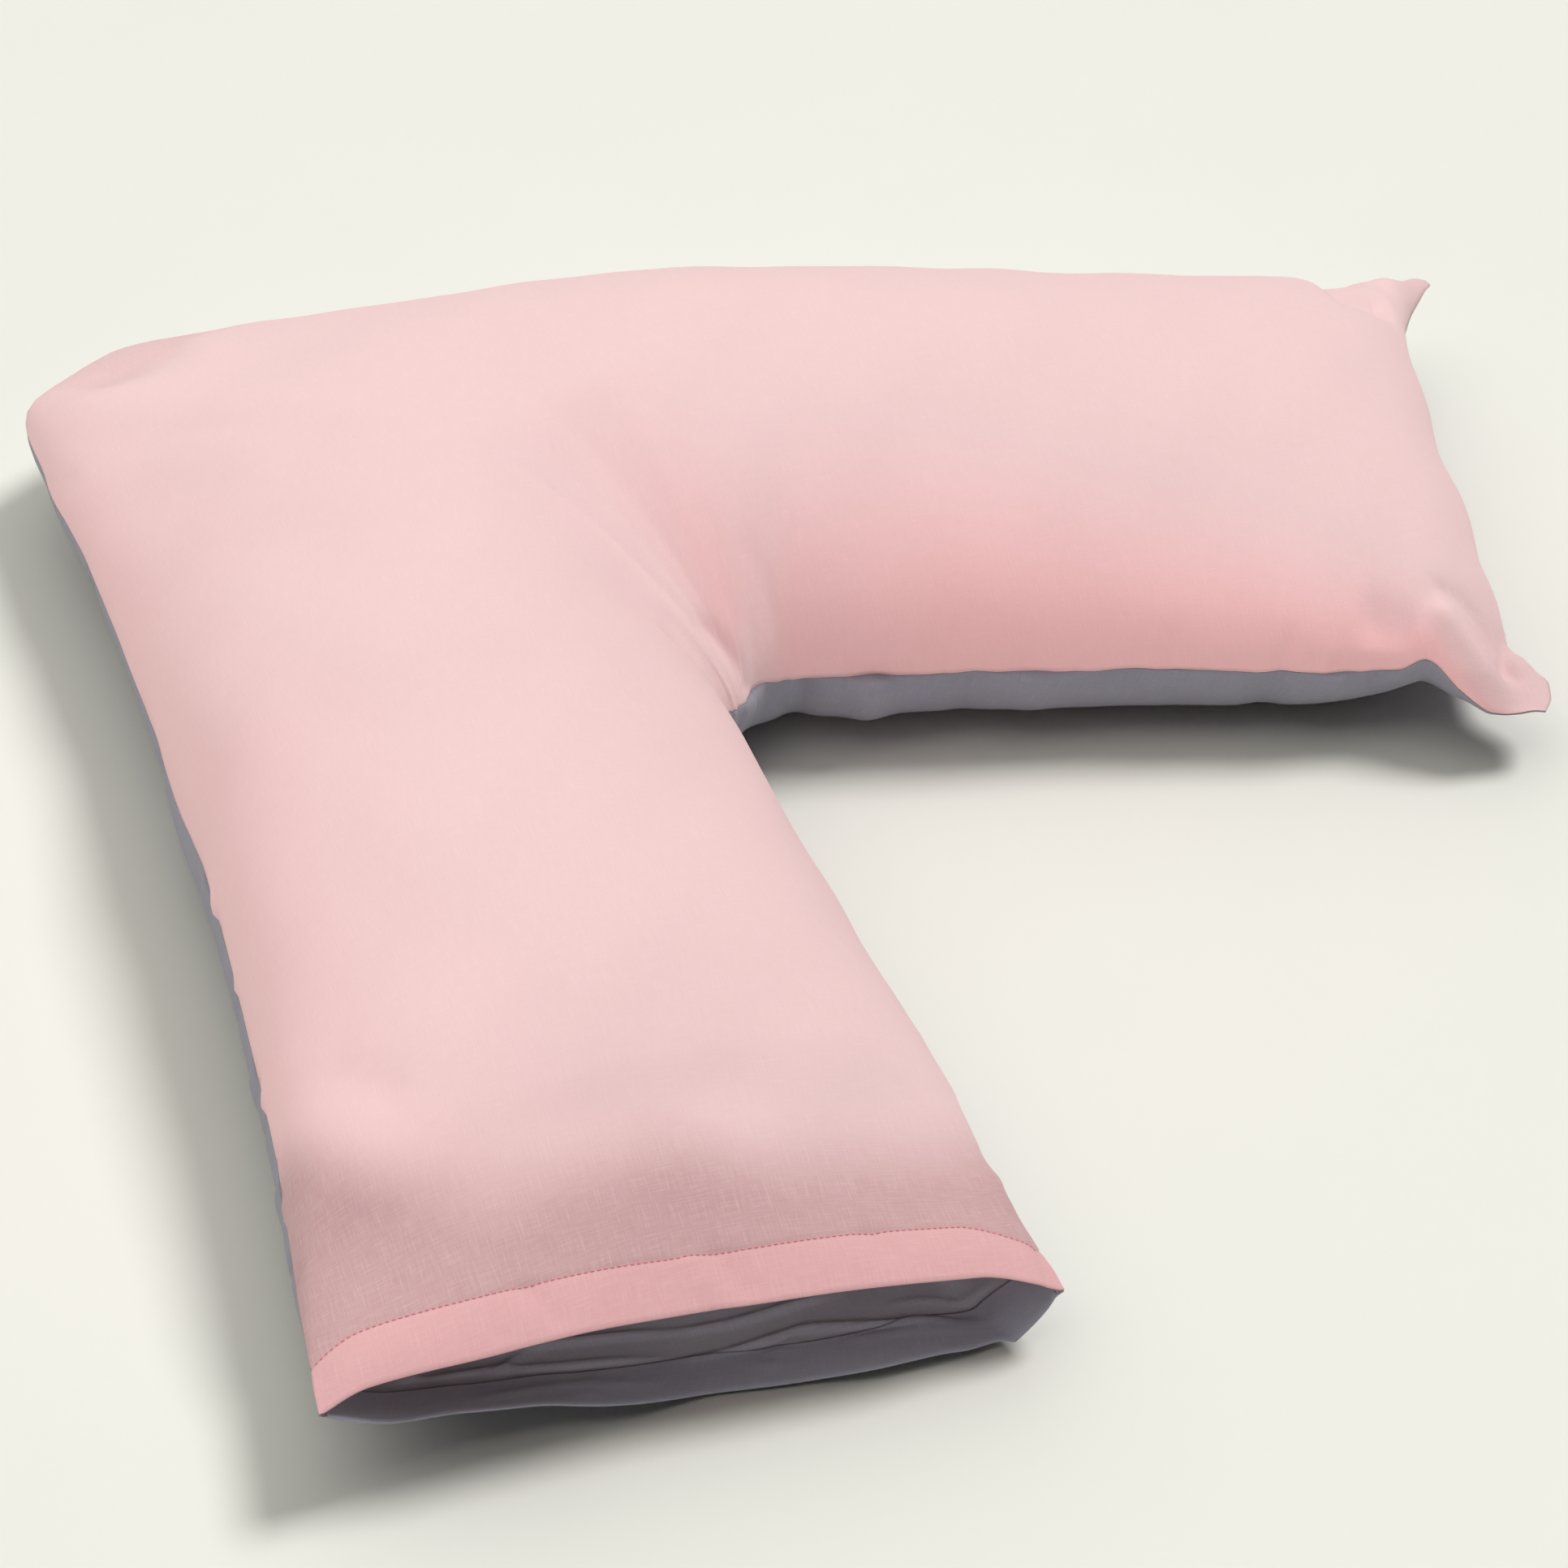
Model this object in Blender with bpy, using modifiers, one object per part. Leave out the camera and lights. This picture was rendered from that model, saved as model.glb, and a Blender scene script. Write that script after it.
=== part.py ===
"""V-shaped pillow in a slip case of two colours.

The case is a pink top panel and a slate-grey bottom panel of thin cotton, sewn together
all round except at the mouth of one leg. The filled pillow lies inside, gives the case
its crown and stops short of the mouth. The whole part lies on its bottom panel.

Units are metres and +Z is up. +Y points to the apex of the V, and the leg with the mouth
is on the -X side. The origin is on the floor, under the middle of the bounding box.

The V is described by chords from its inner seam to its outer seam. Down each leg the
chords lie side by side, and round the apex they fan out from the corner of the V.
SECTIONS gives the ends and heights of the main chords. The functions below draw a smooth
surface through them.
"""

import math
from collections import namedtuple

import bmesh
import bpy
import numpy as np

# Angle between the two legs, and the corner of the V that the chords are measured from
LEG_ANGLE = math.radians(76.0)
CORNER = (-0.0258, -0.0882)

# Cloth, and the gap that the stitched edges of the two panels keep
CLOTH = 0.002
SEAM_GAP = 0.0004

# A chord of the V. Turn is the chord's direction in degrees from +Y, 52 square to the
# mouth leg and -52 square to the closed leg. Along is its distance down the leg from the
# corner of the V. Inner and outer are the seams' distances from the corner, out along
# the chord. Then come three heights above the floor, and into how many strips the
# solids divide the stretch to the next chord.
Section = namedtuple("Section", "turn along inner outer inner_height outer_height crown strips")
SQUARE = 52.0
SECTIONS = (
    # Mouth leg, from the open end
    Section(SQUARE, 0.420, -0.010, 0.364, 0.034, 0.052, 0.068, 5),
    Section(SQUARE, 0.385, -0.004, 0.360, 0.042, 0.058, 0.086, 5),
    Section(SQUARE, 0.345, 0.002, 0.355, 0.050, 0.060, 0.109, 2),
    Section(SQUARE, 0.300, 0.007, 0.349, 0.055, 0.061, 0.134, 2),
    Section(SQUARE, 0.240, 0.012, 0.341, 0.058, 0.062, 0.154, 2),
    Section(SQUARE, 0.160, 0.018, 0.334, 0.060, 0.062, 0.165, 2),
    Section(SQUARE, 0.080, 0.024, 0.328, 0.060, 0.062, 0.171, 1),
    Section(SQUARE, 0.020, 0.025, 0.325, 0.060, 0.062, 0.176, 3),
    # Round the apex, whose outer corner is a loose ear of cloth
    Section(38.0, 0.0, 0.024, 0.335, 0.060, 0.062, 0.178, 2),
    Section(26.0, 0.0, 0.022, 0.362, 0.060, 0.062, 0.179, 3),
    Section(14.0, 0.0, 0.020, 0.416, 0.060, 0.063, 0.178, 3),
    Section(6.0, 0.0, 0.018, 0.480, 0.060, 0.063, 0.176, 3),
    Section(0.0, 0.0, 0.018, 0.529, 0.060, 0.062, 0.174, 3),
    Section(-6.0, 0.0, 0.018, 0.526, 0.060, 0.060, 0.174, 3),
    Section(-13.0, 0.0, 0.018, 0.490, 0.060, 0.060, 0.174, 3),
    Section(-20.0, 0.0, 0.018, 0.450, 0.060, 0.061, 0.178, 2),
    Section(-28.0, 0.0, 0.020, 0.414, 0.060, 0.062, 0.183, 2),
    Section(-40.0, 0.0, 0.026, 0.376, 0.060, 0.062, 0.184, 3),
    # Closed leg, whose near seam lifts before its last corner
    Section(-SQUARE, 0.020, 0.036, 0.358, 0.058, 0.062, 0.182, 1),
    Section(-SQUARE, 0.080, 0.036, 0.357, 0.057, 0.062, 0.178, 2),
    Section(-SQUARE, 0.160, 0.033, 0.357, 0.056, 0.062, 0.170, 2),
    Section(-SQUARE, 0.240, 0.029, 0.358, 0.055, 0.062, 0.155, 2),
    Section(-SQUARE, 0.320, 0.021, 0.362, 0.053, 0.061, 0.139, 3),
    Section(-SQUARE, 0.378, 0.019, 0.372, 0.060, 0.058, 0.128, 2),
    Section(-SQUARE, 0.397, 0.004, 0.377, 0.048, 0.056, 0.124, 2),
    Section(-SQUARE, 0.416, -0.006, 0.382, 0.039, 0.055, 0.119, 5),
    Section(-SQUARE, 0.455, -0.004, 0.390, 0.036, 0.054, 0.112, 0),
)
TURN_RADIUS = 0.24

# Where the chord's crown line lies between the seams, 0 inner to 1 outer, and how round
# the slopes are: 2 is an ellipse, less is a leaner slope. The apex differs within some
# degrees of turn from the legs.
CROWN_PLACE = 0.50
APEX_CROWN_PLACE = 0.40
ROUND = 2.0
APEX_INNER_ROUND = 1.55
APEX_OUTER_ROUND = 1.65
APEX_BLEND = 30.0

# Where the bottom panel meets the floor between the seams, and how far its outer wall
# bulges out past the seam
FLOOR_FROM = 0.17
FLOOR_TO = 0.80
BELLY = 0.007

# Loose ear at the apex: how far the fill stops short of it, where it points, how many
# degrees it spreads, and from which share of the chord its cloth stretches out
EAR_REACH = 0.070
EAR_TURN = -3.0
EAR_SPREAD = 14.0
EAR_FROM = 0.8

# The mouth: the stretch of leg that it shapes, and its cross-section
MOUTH_REACH = 0.120
MOUTH_EASE = 1.5
MOUTH_FLOOR_FROM = 0.036
MOUTH_FLOOR_TO = 0.50
MOUTH_CROWN_PLACE = 0.58
MOUTH_WALL_POWER = 1.95

# The edges of both panels at the mouth: distance down the leg at each share of the way
# from the inner to the outer seam
EdgePoint = namedtuple("EdgePoint", "across along")
TOP_MOUTH_EDGE = (
    EdgePoint(0.0, 0.432),
    EdgePoint(0.12, 0.417),
    EdgePoint(0.38, 0.417),
    EdgePoint(0.505, 0.414),
    EdgePoint(0.63, 0.408),
    EdgePoint(0.76, 0.402),
    EdgePoint(0.93, 0.394),
    EdgePoint(1.0, 0.402),
)
BOTTOM_MOUTH_EDGE = (
    EdgePoint(0.0, 0.432),
    EdgePoint(0.07, 0.422),
    EdgePoint(0.34, 0.417),
    EdgePoint(0.48, 0.409),
    EdgePoint(0.615, 0.398),
    EdgePoint(0.715, 0.391),
    EdgePoint(0.805, 0.393),
    EdgePoint(0.935, 0.402),
    EdgePoint(1.0, 0.402),
)

# The closed end: the stretch over which each panel rounds to its seam, and how far that
# seam is drawn in, again from the inner to the outer seam
END_ROUNDING = 0.150
END_ROUNDING_BELOW = 0.200
END_REACH = 0.070
EndPoint = namedtuple("EndPoint", "across drawn_in")
END_SEAM = (
    EndPoint(0.0, 0.009),
    EndPoint(0.025, 0.006),
    EndPoint(0.06, 0.006),
    EndPoint(0.10, 0.011),
    EndPoint(0.20, 0.026),
    EndPoint(0.35, 0.034),
    EndPoint(0.65, 0.036),
    EndPoint(0.80, 0.034),
    EndPoint(0.90, 0.022),
    EndPoint(0.96, 0.008),
    EndPoint(0.985, 0.002),
    EndPoint(1.0, 0.004),
)

# Its corners are empty: the panels lie on each other within this distance of them
INNER_EMPTY = 0.084
OUTER_EMPTY = 0.040

# The filled pillow: its share of the room in the case, where it ends in each leg, how
# long its rounded ends are, and the share of its width that its last chords lose
FILL = 0.965
FILL_FROM_MOUTH = 0.100
FILL_FROM_END = 0.026
FILL_ROUNDING_MOUTH = 0.060
FILL_ROUNDING_END = 0.134
FILL_NARROWING = 0.12
FILL_MIDDLE = 0.45
FILL_PAST_EAR = 0.9

# Folds, as soft ridges (height above 0) and troughs (below 0) between two places given
# as distance along a leg and distance out from its inner side
Fold = namedtuple("Fold", "leg along out to_along to_out half_width height")
MOUTH_LEG = 1
CLOSED_LEG = -1
TOP_FOLDS = (
    # Ridge and hollow of the near corner of the closed leg
    Fold(CLOSED_LEG, 0.385, 0.034, 0.418, 0.002, 0.010, 0.007),
    Fold(CLOSED_LEG, 0.345, 0.034, 0.378, 0.024, 0.014, -0.006),
    # Hollow in front of its far corner
    Fold(CLOSED_LEG, 0.372, 0.318, 0.410, 0.318, 0.020, -0.010),
    # Creases that run out from the corner of the V
    Fold(CLOSED_LEG, -0.006, 0.016, -0.034, 0.032, 0.006, -0.005),
    Fold(MOUTH_LEG, -0.008, 0.026, -0.018, 0.050, 0.007, -0.004),
    # Slack between the fill and the ear
    Fold(CLOSED_LEG, -0.326, 0.330, -0.385, 0.312, 0.028, -0.016),
)
BOTTOM_FOLDS = (
    # Wrinkles of the bottom panel inside the mouth
    Fold(MOUTH_LEG, 0.357, 0.285, 0.369, 0.161, 0.007, 0.005),
    Fold(MOUTH_LEG, 0.375, 0.270, 0.391, 0.168, 0.006, 0.005),
    Fold(MOUTH_LEG, 0.391, 0.150, 0.389, 0.111, 0.007, 0.006),
    Fold(MOUTH_LEG, 0.367, 0.177, 0.370, 0.088, 0.007, 0.005),
)

# The two panels fold as one where they lie closer together than about this
TOGETHER = 0.02

# Fineness of the solids: steps across a chord, and where the filled pillow's first and
# last chords lie, measured from its ends
STEPS = 16
FILL_END_CHORDS = (0.004, 0.014, 0.030, 0.052, 0.080)

PINK = "F0C6C8"
SLATE = "6B6A72"
WHITE = "EFE9E6"


def smoothstep(value):
    """Ease a value from 0 to 1."""
    value = np.clip(value, 0.0, 1.0)
    return value * value * (3.0 - 2.0 * value)


def quarter_round(distance, reach):
    """Rise from 0 to 1 over a reach, as a quarter of an ellipse does."""
    left = np.clip(1.0 - distance / reach, 0.0, 1.0)
    return np.sqrt(1.0 - left**2)


def section_places():
    """Distance of each main chord along the V, from the mouth."""
    places = [0.0]
    for last, this in zip(SECTIONS[:-1], SECTIONS[1:]):
        turned = math.radians(abs(this.turn - last.turn)) * TURN_RADIUS
        places.append(places[-1] + abs(this.along - last.along) + turned)
    return np.array(places)


def monotone_curve(places, values, at):
    """Read a smooth curve that never overshoots the values that it passes through."""
    width = np.diff(places)
    slope = np.diff(values) / width
    tangent = np.zeros_like(values)
    tangent[0], tangent[-1] = slope[0], slope[-1]
    for i in range(1, len(values) - 1):
        if slope[i - 1] * slope[i] > 0.0:
            before = 2.0 * width[i] + width[i - 1]
            after = width[i] + 2.0 * width[i - 1]
            tangent[i] = (before + after) / (before / slope[i - 1] + after / slope[i])
    i = np.clip(np.searchsorted(places, at) - 1, 0, len(width) - 1)
    t = (at - places[i]) / width[i]
    rise = values[i + 1] - values[i]
    ease = t * t * (3.0 - 2.0 * t)
    return (
        values[i]
        + rise * ease
        + width[i] * tangent[i] * t * (1.0 - t) ** 2
        - width[i] * tangent[i + 1] * t * t * (1.0 - t)
    )


def read_line(table, at):
    """Read a smooth line through a table of two columns."""
    places, values = np.array(table).T
    return monotone_curve(places, values, np.clip(at, places[0], places[-1]))


def sections_at(at):
    """The chords at some distances along the V, as one Section of columns."""
    places = section_places()
    columns = np.array(SECTIONS).T
    return Section(*(monotone_curve(places, column, at)[:, None] for column in columns))


def chord_places():
    """Distances along the V at which the panels have a chord."""
    places = section_places()
    stretches = [
        np.linspace(start, finish, section.strips, endpoint=False)
        for start, finish, section in zip(places[:-1], places[1:], SECTIONS[:-1])
    ]
    return np.concatenate([*stretches, places[-1:]])


def pillow_places():
    """Distances along the V at which the filled pillow has a chord."""
    first = FILL_FROM_MOUTH
    last = section_places()[-1] - FILL_FROM_END
    ends = np.array(FILL_END_CHORDS)
    between = chord_places()
    between = between[(between > first + ends[-1]) & (between < last - ends[-1])]
    return np.concatenate([first + ends, between, last - ends[::-1]])


def plan_point(turn, along, out):
    """Plan position of a point, from its chord's turn and its distances along and out."""
    angle = np.radians(turn)
    half = LEG_ANGLE / 2.0
    x = CORNER[0] - np.sin(angle) * out - math.sin(half) * np.sign(turn) * along
    y = CORNER[1] + np.cos(angle) * out - math.cos(half) * along
    return x, y


def distance_to_mouth(chord):
    """Distance of each chord from the mouth, large outside the mouth leg."""
    return np.where(chord.turn >= SQUARE, SECTIONS[0].along - chord.along, 1.0)


def distance_to_end(chord):
    """Distance of each chord from the closed end, large outside the closed leg."""
    return np.where(chord.turn <= -SQUARE, SECTIONS[-1].along - chord.along, 1.0)


def ear_reach(chord):
    """Width of the unfilled ear on each chord, widest where the apex points."""
    return EAR_REACH * np.exp(-(((chord.turn - EAR_TURN) / EAR_SPREAD) ** 2))


def panel_points(at, steps):
    """Points of the inside faces of the top and the bottom panel, chord by chord."""
    chord = sections_at(at)
    mouth = np.clip(1.0 - distance_to_mouth(chord) / MOUTH_REACH, 0.0, 1.0) ** MOUTH_EASE
    from_end = distance_to_end(chord)
    end = np.clip(1.0 - from_end / END_REACH, 0.0, 1.0) ** 2
    apex = smoothstep((SQUARE - np.abs(chord.turn)) / APEX_BLEND)
    ear = ear_reach(chord)

    # Place of each point between the seams, close together near them
    swing = np.linspace(0.0, math.pi, steps + 1)[None]
    inner_half = swing <= math.pi / 2.0
    crown_place = (
        CROWN_PLACE
        + (APEX_CROWN_PLACE - CROWN_PLACE) * apex
        + (MOUTH_CROWN_PLACE - CROWN_PLACE) * mouth
    )
    share = np.where(
        inner_half,
        crown_place * (1.0 - np.cos(swing)),
        1.0 - (1.0 - crown_place) * (1.0 + np.cos(swing)),
    )
    width = chord.outer - chord.inner
    stretch = ear * np.clip((share - EAR_FROM) / (1.0 - EAR_FROM), 0.0, 1.0) ** 2
    out = chord.inner + share * (width - ear) + stretch
    across = (out - chord.inner) / width
    filled = smoothstep(np.hypot(from_end, across * width) / INNER_EMPTY)
    filled = filled * smoothstep(np.hypot(from_end, (1.0 - across) * width) / OUTER_EMPTY)

    # Top panel: up from the seams to the crown
    inner_round = ROUND + (APEX_INNER_ROUND - ROUND) * apex
    outer_round = ROUND + (APEX_OUTER_ROUND - ROUND) * apex
    roundness = np.where(inner_half, inner_round, outer_round)
    span = np.where(inner_half, crown_place, 1.0 - crown_place)
    down = np.clip(np.abs(share - crown_place) / span, 0.0, 1.0)
    swell = (1.0 - down**roundness) ** (1.0 / roundness)
    swell = swell + (np.cos(down * math.pi / 2.0) - swell) * mouth
    seam = chord.inner_height + (chord.outer_height - chord.inner_height) * share
    top = seam + (chord.crown - seam) * swell * quarter_round(from_end, END_ROUNDING) * filled

    # Bottom panel: down from the seams to the floor
    floor_from = FLOOR_FROM + (MOUTH_FLOOR_FROM - FLOOR_FROM) * mouth
    floor_to = FLOOR_TO + (MOUTH_FLOOR_TO - FLOOR_TO) * mouth
    inner_rise = np.clip(1.0 - share / floor_from, 0.0, 1.0)
    outer_rise = np.clip((share - floor_to) / (1.0 - floor_to), 0.0, 1.0)
    inner_wall = 1.0 - np.sqrt(1.0 - inner_rise**2)
    outer_wall = 1.0 - np.sqrt(1.0 - outer_rise**2)
    outer_wall = outer_wall + (outer_rise**MOUTH_WALL_POWER - outer_wall) * mouth
    bottom = (
        CLOTH
        + (chord.inner_height - CLOTH) * inner_wall
        + (chord.outer_height - CLOTH) * outer_wall
    )
    bottom = seam + (bottom - seam) * quarter_round(from_end, END_ROUNDING_BELOW) * filled
    belly = BELLY * np.sin(math.pi * outer_rise**4) * (1.0 - mouth) * (1.0 - apex)

    # Places along the leg: the mouth's edges and the drawn-in closed end
    along = chord.along - end * read_line(END_SEAM, across)
    top_along = along + mouth * (read_line(TOP_MOUTH_EDGE, across) - SECTIONS[0].along)
    bottom_along = along + mouth * (read_line(BOTTOM_MOUTH_EDGE, across) - SECTIONS[0].along)
    top_xy = plan_point(chord.turn, top_along, out)
    bottom_xy = plan_point(chord.turn, bottom_along, out + belly)
    return np.stack([*top_xy, top], -1), np.stack([*bottom_xy, bottom], -1)


def fold_heights(points, folds):
    """How far the folds lift or lower the cloth at some points."""
    heights = np.zeros(points.shape[:-1])
    for fold in folds:
        turn = SQUARE * fold.leg
        start = np.array(plan_point(turn, fold.along, fold.out))
        finish = np.array(plan_point(turn, fold.to_along, fold.to_out))
        run = finish - start
        offset = points[..., :2] - start
        share = np.clip(offset @ run / (run @ run), 0.0, 1.0)
        apart = np.linalg.norm(offset - share[..., None] * run, axis=-1)
        heights += fold.height * np.exp(-((apart / fold.half_width) ** 2))
    return heights


def part_cloth(top, bottom):
    """Fold the two panels, keeping them the seam gap apart where they lie on each other."""
    room = top[..., 2] - bottom[..., 2]
    lift = fold_heights(top, TOP_FOLDS)
    together = np.exp(-((room / TOGETHER) ** 2))
    top[..., 2] += lift + SEAM_GAP / 2.0
    bottom[..., 2] += lift * together + fold_heights(bottom, BOTTOM_FOLDS)
    floor = bottom[..., 2] <= CLOTH
    bottom[..., 2] = np.where(floor, CLOTH, bottom[..., 2] - SEAM_GAP / 2.0 * together)
    return top, bottom


def pillow_rings(at, steps):
    """Closed rings of points round the filled pillow, one for each chord."""
    top, bottom = panel_points(at, steps)
    chord = sections_at(at)
    length = section_places()[-1]
    mouth_end = quarter_round(at[:, None] - FILL_FROM_MOUTH, FILL_ROUNDING_MOUTH)
    closed_end = quarter_round(length - FILL_FROM_END - at[:, None], FILL_ROUNDING_END)
    room = quarter_round(distance_to_end(chord), END_ROUNDING)
    height = FILL * mouth_end * closed_end / room
    width = FILL - FILL_PAST_EAR * ear_reach(chord) / (chord.outer - chord.inner)
    width = width - FILL_NARROWING * (1.0 - mouth_end * closed_end) ** 1.5
    rings = []
    for grid in (top, bottom):
        middle = (top[:, :1] + top[:, -1:]) / 2.0
        middle[..., 2] = FILL_MIDDLE * top[..., 2].max(axis=1)[:, None]
        shrunk = middle + (grid - middle) * np.stack([width, width, height], -1)
        rings.append(shrunk)
    rings[0][..., 2] += np.minimum(fold_heights(rings[0], TOP_FOLDS), 0.0)
    return np.concatenate([rings[0], rings[1][:, -2:0:-1]], axis=1)


def colour(text):
    """Linear colour from an sRGB hex value."""
    parts = [int(text[i : i + 2], 16) / 255.0 for i in (0, 2, 4)]
    linear = [c / 12.92 if c <= 0.04045 else ((c + 0.055) / 1.055) ** 2.4 for c in parts]
    return (*linear, 1.0)


def cloth_material(name, text):
    """Matt woven cotton of one colour."""
    material = bpy.data.materials.new(name)
    material.use_nodes = True
    shader = material.node_tree.nodes["Principled BSDF"]
    shader.inputs["Base Color"].default_value = colour(text)
    shader.inputs["Roughness"].default_value = 0.9
    shader.inputs["Metallic"].default_value = 0.0
    return material


def add_object(name, mesh, material, collection):
    """Wrap a finished mesh as a smooth object in the part's collection."""
    mesh.materials.append(material)
    mesh.shade_smooth()
    new_object = bpy.data.objects.new(name, mesh)
    collection.objects.link(new_object)
    return new_object


def add_panel(name, grid, face_up, material, collection):
    """One panel: its inside face lofted over the chords, thickened outwards."""
    shape = bmesh.new()
    rows = [[shape.verts.new(point) for point in row] for row in grid]
    for near, far in zip(rows[:-1], rows[1:]):
        for i in range(len(near) - 1):
            corners = (near[i], far[i], far[i + 1], near[i + 1])
            shape.faces.new(corners if face_up else corners[::-1])
    mesh = bpy.data.meshes.new(name)
    shape.to_mesh(mesh)
    shape.free()
    panel = add_object(name, mesh, material, collection)
    cloth = panel.modifiers.new("Cloth thickness", "SOLIDIFY")
    cloth.thickness = CLOTH
    cloth.offset = 1.0
    return panel


def add_pillow(name, rings, material, collection):
    """The filled pillow: its rings joined and both ends closed."""
    shape = bmesh.new()
    rows = [[shape.verts.new(point) for point in ring] for ring in rings]
    count = len(rows[0])
    for near, far in zip(rows[:-1], rows[1:]):
        for i in range(count):
            j = (i + 1) % count
            shape.faces.new((near[i], far[i], far[j], near[j]))
    for row in (rows[0][::-1], rows[-1]):
        shape.faces.new(row)
    bmesh.ops.triangulate(shape, faces=[face for face in shape.faces if len(face.verts) > 4])
    bmesh.ops.recalc_face_normals(shape, faces=shape.faces)
    mesh = bpy.data.meshes.new(name)
    shape.to_mesh(mesh)
    shape.free()
    return add_object(name, mesh, material, collection)


def main():
    """Build the case's two panels and the filled pillow inside them."""
    for old in list(bpy.data.objects):
        bpy.data.objects.remove(old, do_unlink=True)
    collection = bpy.data.collections.new("v_shaped_pillow")
    bpy.context.scene.collection.children.link(collection)

    top, bottom = part_cloth(*panel_points(chord_places(), STEPS))
    add_panel("top_panel", top, True, cloth_material("Pink cotton", PINK), collection)
    add_panel("bottom_panel", bottom, False, cloth_material("Slate cotton", SLATE), collection)
    rings = pillow_rings(pillow_places(), STEPS)
    add_pillow("inner_pillow", rings, cloth_material("White ticking", WHITE), collection)


main()
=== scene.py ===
"""Dressed model of a V-shaped pillow in a slip case of two colours.

The case is a pink top panel and a slate-grey bottom panel of thin slubby cotton, sewn
together all round except at the mouth of one leg. The filled pillow inside gives the case
its crown and stops short of the mouth. There the empty cloth is painted mauve: painted
shade of the empty inside, seen through the thin cloth.

Units are metres and +Z is up. +Y points to the apex of the V, and the leg with the mouth
is on the -X side.
"""

import math
from collections import namedtuple

import bpy
import numpy as np
from bpy.props import FloatProperty, FloatVectorProperty, IntProperty, PointerProperty
from bpy.types import Operator, Panel, PropertyGroup
from mathutils import Matrix, Vector


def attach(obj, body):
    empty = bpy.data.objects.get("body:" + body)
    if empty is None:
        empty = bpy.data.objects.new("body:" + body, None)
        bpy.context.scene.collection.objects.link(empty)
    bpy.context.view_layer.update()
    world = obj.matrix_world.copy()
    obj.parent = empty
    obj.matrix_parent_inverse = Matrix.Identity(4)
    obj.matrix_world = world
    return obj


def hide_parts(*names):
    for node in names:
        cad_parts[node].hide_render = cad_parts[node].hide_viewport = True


bl_info = {
    "name": "V-shaped pillow",
    "version": (1, 0, 0),
    "blender": (4, 5, 0),
    "location": "3D View > Sidebar > Pillow",
    "description": "Builds a V-shaped pillow in a slip case of two colours",
    "category": "Add Mesh",
}

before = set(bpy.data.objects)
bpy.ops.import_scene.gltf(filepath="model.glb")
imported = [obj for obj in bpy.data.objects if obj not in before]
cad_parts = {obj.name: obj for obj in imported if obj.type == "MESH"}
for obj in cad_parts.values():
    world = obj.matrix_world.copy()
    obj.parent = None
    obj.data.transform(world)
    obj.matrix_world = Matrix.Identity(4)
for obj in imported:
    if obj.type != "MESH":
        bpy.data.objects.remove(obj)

# Columns of the tables below that aren't lengths; all their lengths are in millimetres
PLAIN_COLUMNS = ("turn", "across", "leg", "start")


def metres(value):
    """Turn millimetres, or a nest of them, to metres."""
    return tuple(map(metres, value)) if isinstance(value, tuple) else value / 1000.0


def table(kind, *rows):
    """Rows of one kind, with their lengths turned to metres."""
    lengths = [name not in PLAIN_COLUMNS for name in kind._fields]
    return tuple(
        kind(*(metres(cell) if length else cell for cell, length in zip(row, lengths)))
        for row in rows
    )


# Angle between the two legs, and the corner of the V that the chords are measured from
LEG_ANGLE = math.radians(76.0)
LEG_X = math.sin(LEG_ANGLE / 2.0)
LEG_Y = math.cos(LEG_ANGLE / 2.0)
CORNER = (-0.0258, -0.0882)

# Thickness of the solids' cloth, whose outside this cloth keeps to, and the gap that the
# stitched edges of the two panels keep
SOLID_CLOTH = 0.002
SEAM_GAP = 0.0004

# A chord of the V. Turn is the chord's direction in degrees from +Y, 52 square to the
# mouth leg and -52 square to the closed leg. Along is its distance down the leg from the
# corner of the V. Inner and outer are the seams' distances from the corner, out along
# the chord. Then come three heights above the floor.
Section = namedtuple("Section", "turn along inner outer inner_height outer_height crown")
SQUARE = 52.0
SECTIONS = table(
    Section,
    # Mouth leg, from the open end
    (SQUARE, 420, -10, 364, 34, 52, 68),
    (SQUARE, 385, -4, 360, 42, 58, 86),
    (SQUARE, 345, 2, 355, 50, 60, 109),
    (SQUARE, 300, 7, 349, 55, 61, 134),
    (SQUARE, 240, 12, 341, 58, 62, 154),
    (SQUARE, 160, 18, 334, 60, 62, 165),
    (SQUARE, 80, 24, 328, 60, 62, 171),
    (SQUARE, 20, 25, 325, 60, 62, 176),
    # Round the apex, whose outer corner is a loose ear of cloth
    (38.0, 0, 24, 335, 60, 62, 178),
    (26.0, 0, 22, 362, 60, 62, 179),
    (14.0, 0, 20, 416, 60, 63, 178),
    (6.0, 0, 18, 480, 60, 63, 176),
    (0.0, 0, 18, 529, 60, 62, 174),
    (-6.0, 0, 18, 526, 60, 60, 174),
    (-13.0, 0, 18, 490, 60, 60, 174),
    (-20.0, 0, 18, 450, 60, 61, 178),
    (-28.0, 0, 20, 414, 60, 62, 183),
    (-40.0, 0, 26, 376, 60, 62, 184),
    # Closed leg, whose near seam lifts before its last corner
    (-SQUARE, 20, 36, 358, 58, 62, 182),
    (-SQUARE, 80, 36, 357, 57, 62, 178),
    (-SQUARE, 160, 33, 357, 56, 62, 170),
    (-SQUARE, 240, 29, 358, 55, 62, 155),
    (-SQUARE, 320, 21, 362, 53, 61, 139),
    (-SQUARE, 378, 19, 372, 60, 58, 128),
    (-SQUARE, 397, 4, 377, 48, 56, 124),
    (-SQUARE, 416, -6, 382, 39, 55, 119),
    (-SQUARE, 455, -4, 390, 36, 54, 112),
)
TURN_RADIUS = 0.24

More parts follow.
